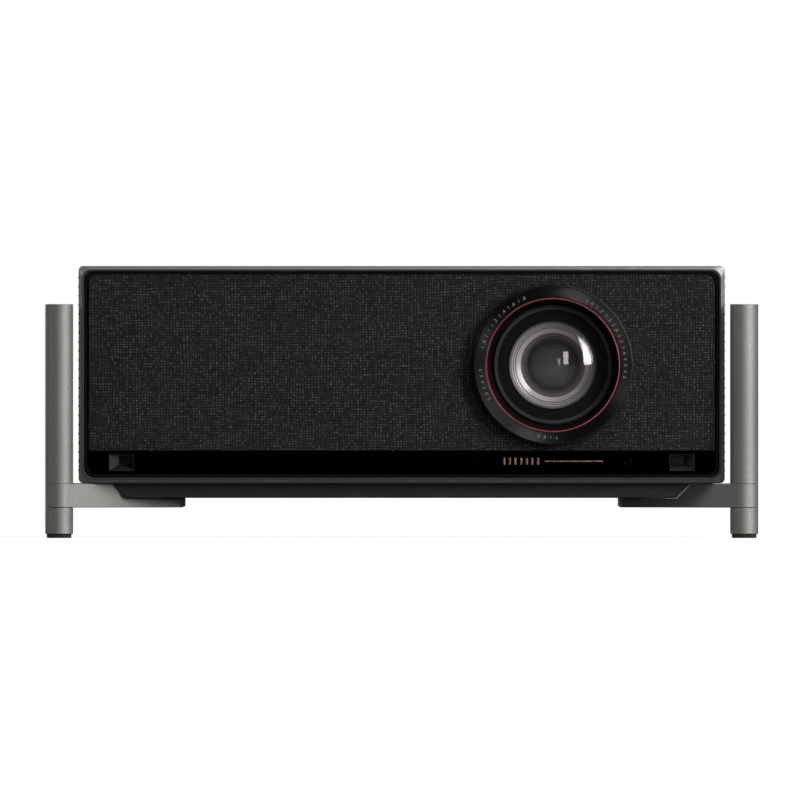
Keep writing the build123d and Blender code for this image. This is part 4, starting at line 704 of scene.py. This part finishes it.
panel_lo, panel_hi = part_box("rear_panel")
PANEL_FACE = panel_hi.y
SCREW_INSET, SCREW_MID_X = 7.0 * MM, 4.0 * MM
SCREW_R, SCREW_H, SOCKET_R, SOCKET_D = 2.7 * MM, 1.3 * MM, 1.15 * MM, 0.9 * MM
CROWN_R = 0.56 * SCREW_R  # of the head's flat top
HEAD_SIDES, HEX_SIDES = 36, 6
SIDE_SHARE = HEAD_SIDES // HEX_SIDES  # head sides to one side of the socket


def screw_heads(spots):
    """Button heads with a hexagon socket, on the rear panel."""
    bm = bmesh.new()
    top = PANEL_FACE + SCREW_H
    profile = [(SCREW_R, PANEL_FACE - 0.1 * MM), (SCREW_R, PANEL_FACE + 0.25 * MM),
               (SCREW_R * 0.93, top - 0.45 * MM), (SCREW_R * 0.75, top - 0.12 * MM), (CROWN_R, top)]
    for spot in spots:
        lathe(bm, profile, spot, HEAD_SIDES, closed=False)
        rim = circle(bm, spot, CROWN_R, top, HEAD_SIDES)
        lip = circle(bm, spot, SOCKET_R, top, HEX_SIDES)
        low = circle(bm, spot, SOCKET_R, top - SOCKET_D, HEX_SIDES)
        for k in range(HEX_SIDES):
            nxt = (k + 1) % HEX_SIDES
            span = [rim[(SIDE_SHARE * k + j) % HEAD_SIDES] for j in range(SIDE_SHARE + 1)]
            half = SIDE_SHARE // 2
            # The flat top: a fan from each end of the socket's side, and a triangle between them.
            for a, b in zip(span[:half], span[1:half + 1]):
                bm.faces.new((lip[k], a, b))
            bm.faces.new((lip[k], span[half], lip[nxt]))
            for a, b in zip(span[half:], span[half + 1:]):
                bm.faces.new((lip[nxt], a, b))
            bm.faces.new((lip[k], lip[nxt], low[nxt], low[k]))
        bm.faces.new(low)
    bmesh.ops.remove_doubles(bm, verts=bm.verts, dist=1e-6)
    return mesh_from("panel_screws", bm)


screw_spots = [(x, z) for x in (panel_lo.x + SCREW_INSET, SCREW_MID_X, panel_hi.x - SCREW_INSET)
               for z in (panel_lo.z + SCREW_INSET, panel_hi.z - SCREW_INSET)]
piece("panel_screws", screw_heads(screw_spots), finish["polished_steel"])


# ---------------------------------------------------------------- lights

AIM = Vector((0.0, 0.0, 0.09))


def at(distance, away, turn):
    """A point that far from the aim: away from the line to the camera, turned from the right towards up."""
    a, t = math.radians(away), math.radians(turn)
    return AIM + distance * Vector((math.sin(a) * math.cos(t), -math.cos(a), math.sin(a) * math.sin(t)))


def softbox(name, place, size, power):
    """A soft rectangular light, in watts, that the camera doesn't see."""
    data = bpy.data.lights.new(name, "AREA")
    data.shape = "RECTANGLE"
    data.size, data.size_y = size
    data.energy = power
    light = bpy.data.objects.new(name, data)
    light.location = place
    light.rotation_euler = (AIM - place).to_track_quat("-Z", "Y").to_euler()
    light.visible_camera = False
    scene.collection.objects.link(light)


softbox("key_right", at(3.3, 54.0, 24.0), (0.80, 2.3), 92.0)
softbox("window_right", at(3.0, 22.0, 27.0), (0.36, 0.87), 9.0)
softbox("top_right", at(1.9, 71.0, 67.0), (0.7, 0.5), 12.0)
softbox("high_left", at(2.2, 72.0, 157.0), (0.4, 0.5), 6.5)
softbox("rim_left", at(1.1, 140.0, 174.0), (0.4, 0.9), 6.0)
softbox("back_high", at(2.0, 150.0, 75.0), (1.2, 0.9), 12.0)


# ---------------------------------------------------------------- floor and room

FLOOR_REACH = 60.0
FLOOR_GREY = 0.15
# The paper glows a little dimmer round the object, painted contact shade that lets its shadow show: how far
# from its middle, and how bright.
CONTACT_FROM, CONTACT_TO = 0.30, 0.75
CONTACT_LEVEL, PAPER_LEVEL = 0.90, 1.0


def wire(tree, *links):
    """Links each (source, socket) pair."""
    for source, socket in links:
        tree.links.new(source, socket)


def pale_paper():
    """White to the camera, but grey in the light that it throws back at the object."""
    paper = bpy.data.materials.new("pale_paper")
    paper.use_nodes = True
    tree = paper.node_tree
    tree.nodes.clear()
    out = tree.nodes.new("ShaderNodeOutputMaterial")
    both = tree.nodes.new("ShaderNodeAddShader")
    matt = tree.nodes.new("ShaderNodeBsdfDiffuse")
    matt.inputs["Color"].default_value = (FLOOR_GREY, FLOOR_GREY, FLOOR_GREY, 1.0)
    glow = tree.nodes.new("ShaderNodeEmission")
    seen = tree.nodes.new("ShaderNodeLightPath")
    where = tree.nodes.new("ShaderNodeTexCoord")
    far = tree.nodes.new("ShaderNodeVectorMath")
    far.operation = "LENGTH"
    near = tree.nodes.new("ShaderNodeMapRange")
    near.interpolation_type = "SMOOTHSTEP"
    for socket, value in (("From Min", CONTACT_FROM), ("From Max", CONTACT_TO),
                          ("To Min", CONTACT_LEVEL), ("To Max", PAPER_LEVEL)):
        near.inputs[socket].default_value = value
    level = tree.nodes.new("ShaderNodeMath")
    level.operation = "MULTIPLY"
    wire(tree, (where.outputs["Object"], far.inputs[0]), (far.outputs["Value"], near.inputs["Value"]),
         (seen.outputs["Is Camera Ray"], level.inputs[0]), (near.outputs[0], level.inputs[1]),
         (level.outputs[0], glow.inputs["Strength"]), (matt.outputs[0], both.inputs[0]),
         (glow.outputs[0], both.inputs[1]), (both.outputs[0], out.inputs["Surface"]))
    return paper


floor_mesh = bpy.data.meshes.new("floor")
floor_corners = [(x * FLOOR_REACH, y * FLOOR_REACH, 0.0) for x, y in ((-1, -1), (1, -1), (1, 1), (-1, 1))]
floor_mesh.from_pydata(floor_corners, [], [(0, 1, 2, 3)])
floor = bpy.data.objects.new("floor", floor_mesh)
scene.collection.objects.link(floor)
floor_mesh.materials.append(pale_paper())

# How bright the room is, from straight in front of the lens (0) to straight behind the unit (1).
ROOM = [(0.001, 0.003), (0.05, 0.004), (0.16, 0.05), (0.35, 0.065), (0.5, 0.08), (0.75, 0.12), (0.999, 0.22)]


def studio_room():
    """A dim grey room that lights the object, behind a white backdrop for the camera."""
    world = bpy.data.worlds.new("studio")
    world.use_nodes = True
    tree = world.node_tree
    tree.nodes.clear()
    out = tree.nodes.new("ShaderNodeOutputWorld")
    direction = tree.nodes.new("ShaderNodeTexCoord")
    parts = tree.nodes.new("ShaderNodeSeparateXYZ")
    shade = tree.nodes.new("ShaderNodeValToRGB")
    stops = shade.color_ramp.elements
    for position, grey in ROOM:
        stops.new(position).color = (grey, grey, grey, 1.0)
    # The ramp's own two stops stand outside these.
    stops.remove(stops[0])
    stops.remove(stops[-1])
    half = tree.nodes.new("ShaderNodeMath")
    half.operation = "MULTIPLY_ADD"
    half.inputs[1].default_value = 0.5
    half.inputs[2].default_value = 0.5
    room = tree.nodes.new("ShaderNodeBackground")
    white = tree.nodes.new("ShaderNodeBackground")
    white.inputs["Color"].default_value = (1.0, 1.0, 1.0, 1.0)
    ray = tree.nodes.new("ShaderNodeLightPath")
    choose = tree.nodes.new("ShaderNodeMixShader")
    wire(tree, (direction.outputs["Generated"], parts.inputs[0]), (parts.outputs[1], half.inputs[0]),
         (half.outputs[0], shade.inputs[0]), (shade.outputs[0], room.inputs["Color"]),
         (ray.outputs["Is Camera Ray"], choose.inputs[0]), (room.outputs[0], choose.inputs[1]),
         (white.outputs[0], choose.inputs[2]), (choose.outputs[0], out.inputs["Surface"]))
    return world


scene.world = studio_room()
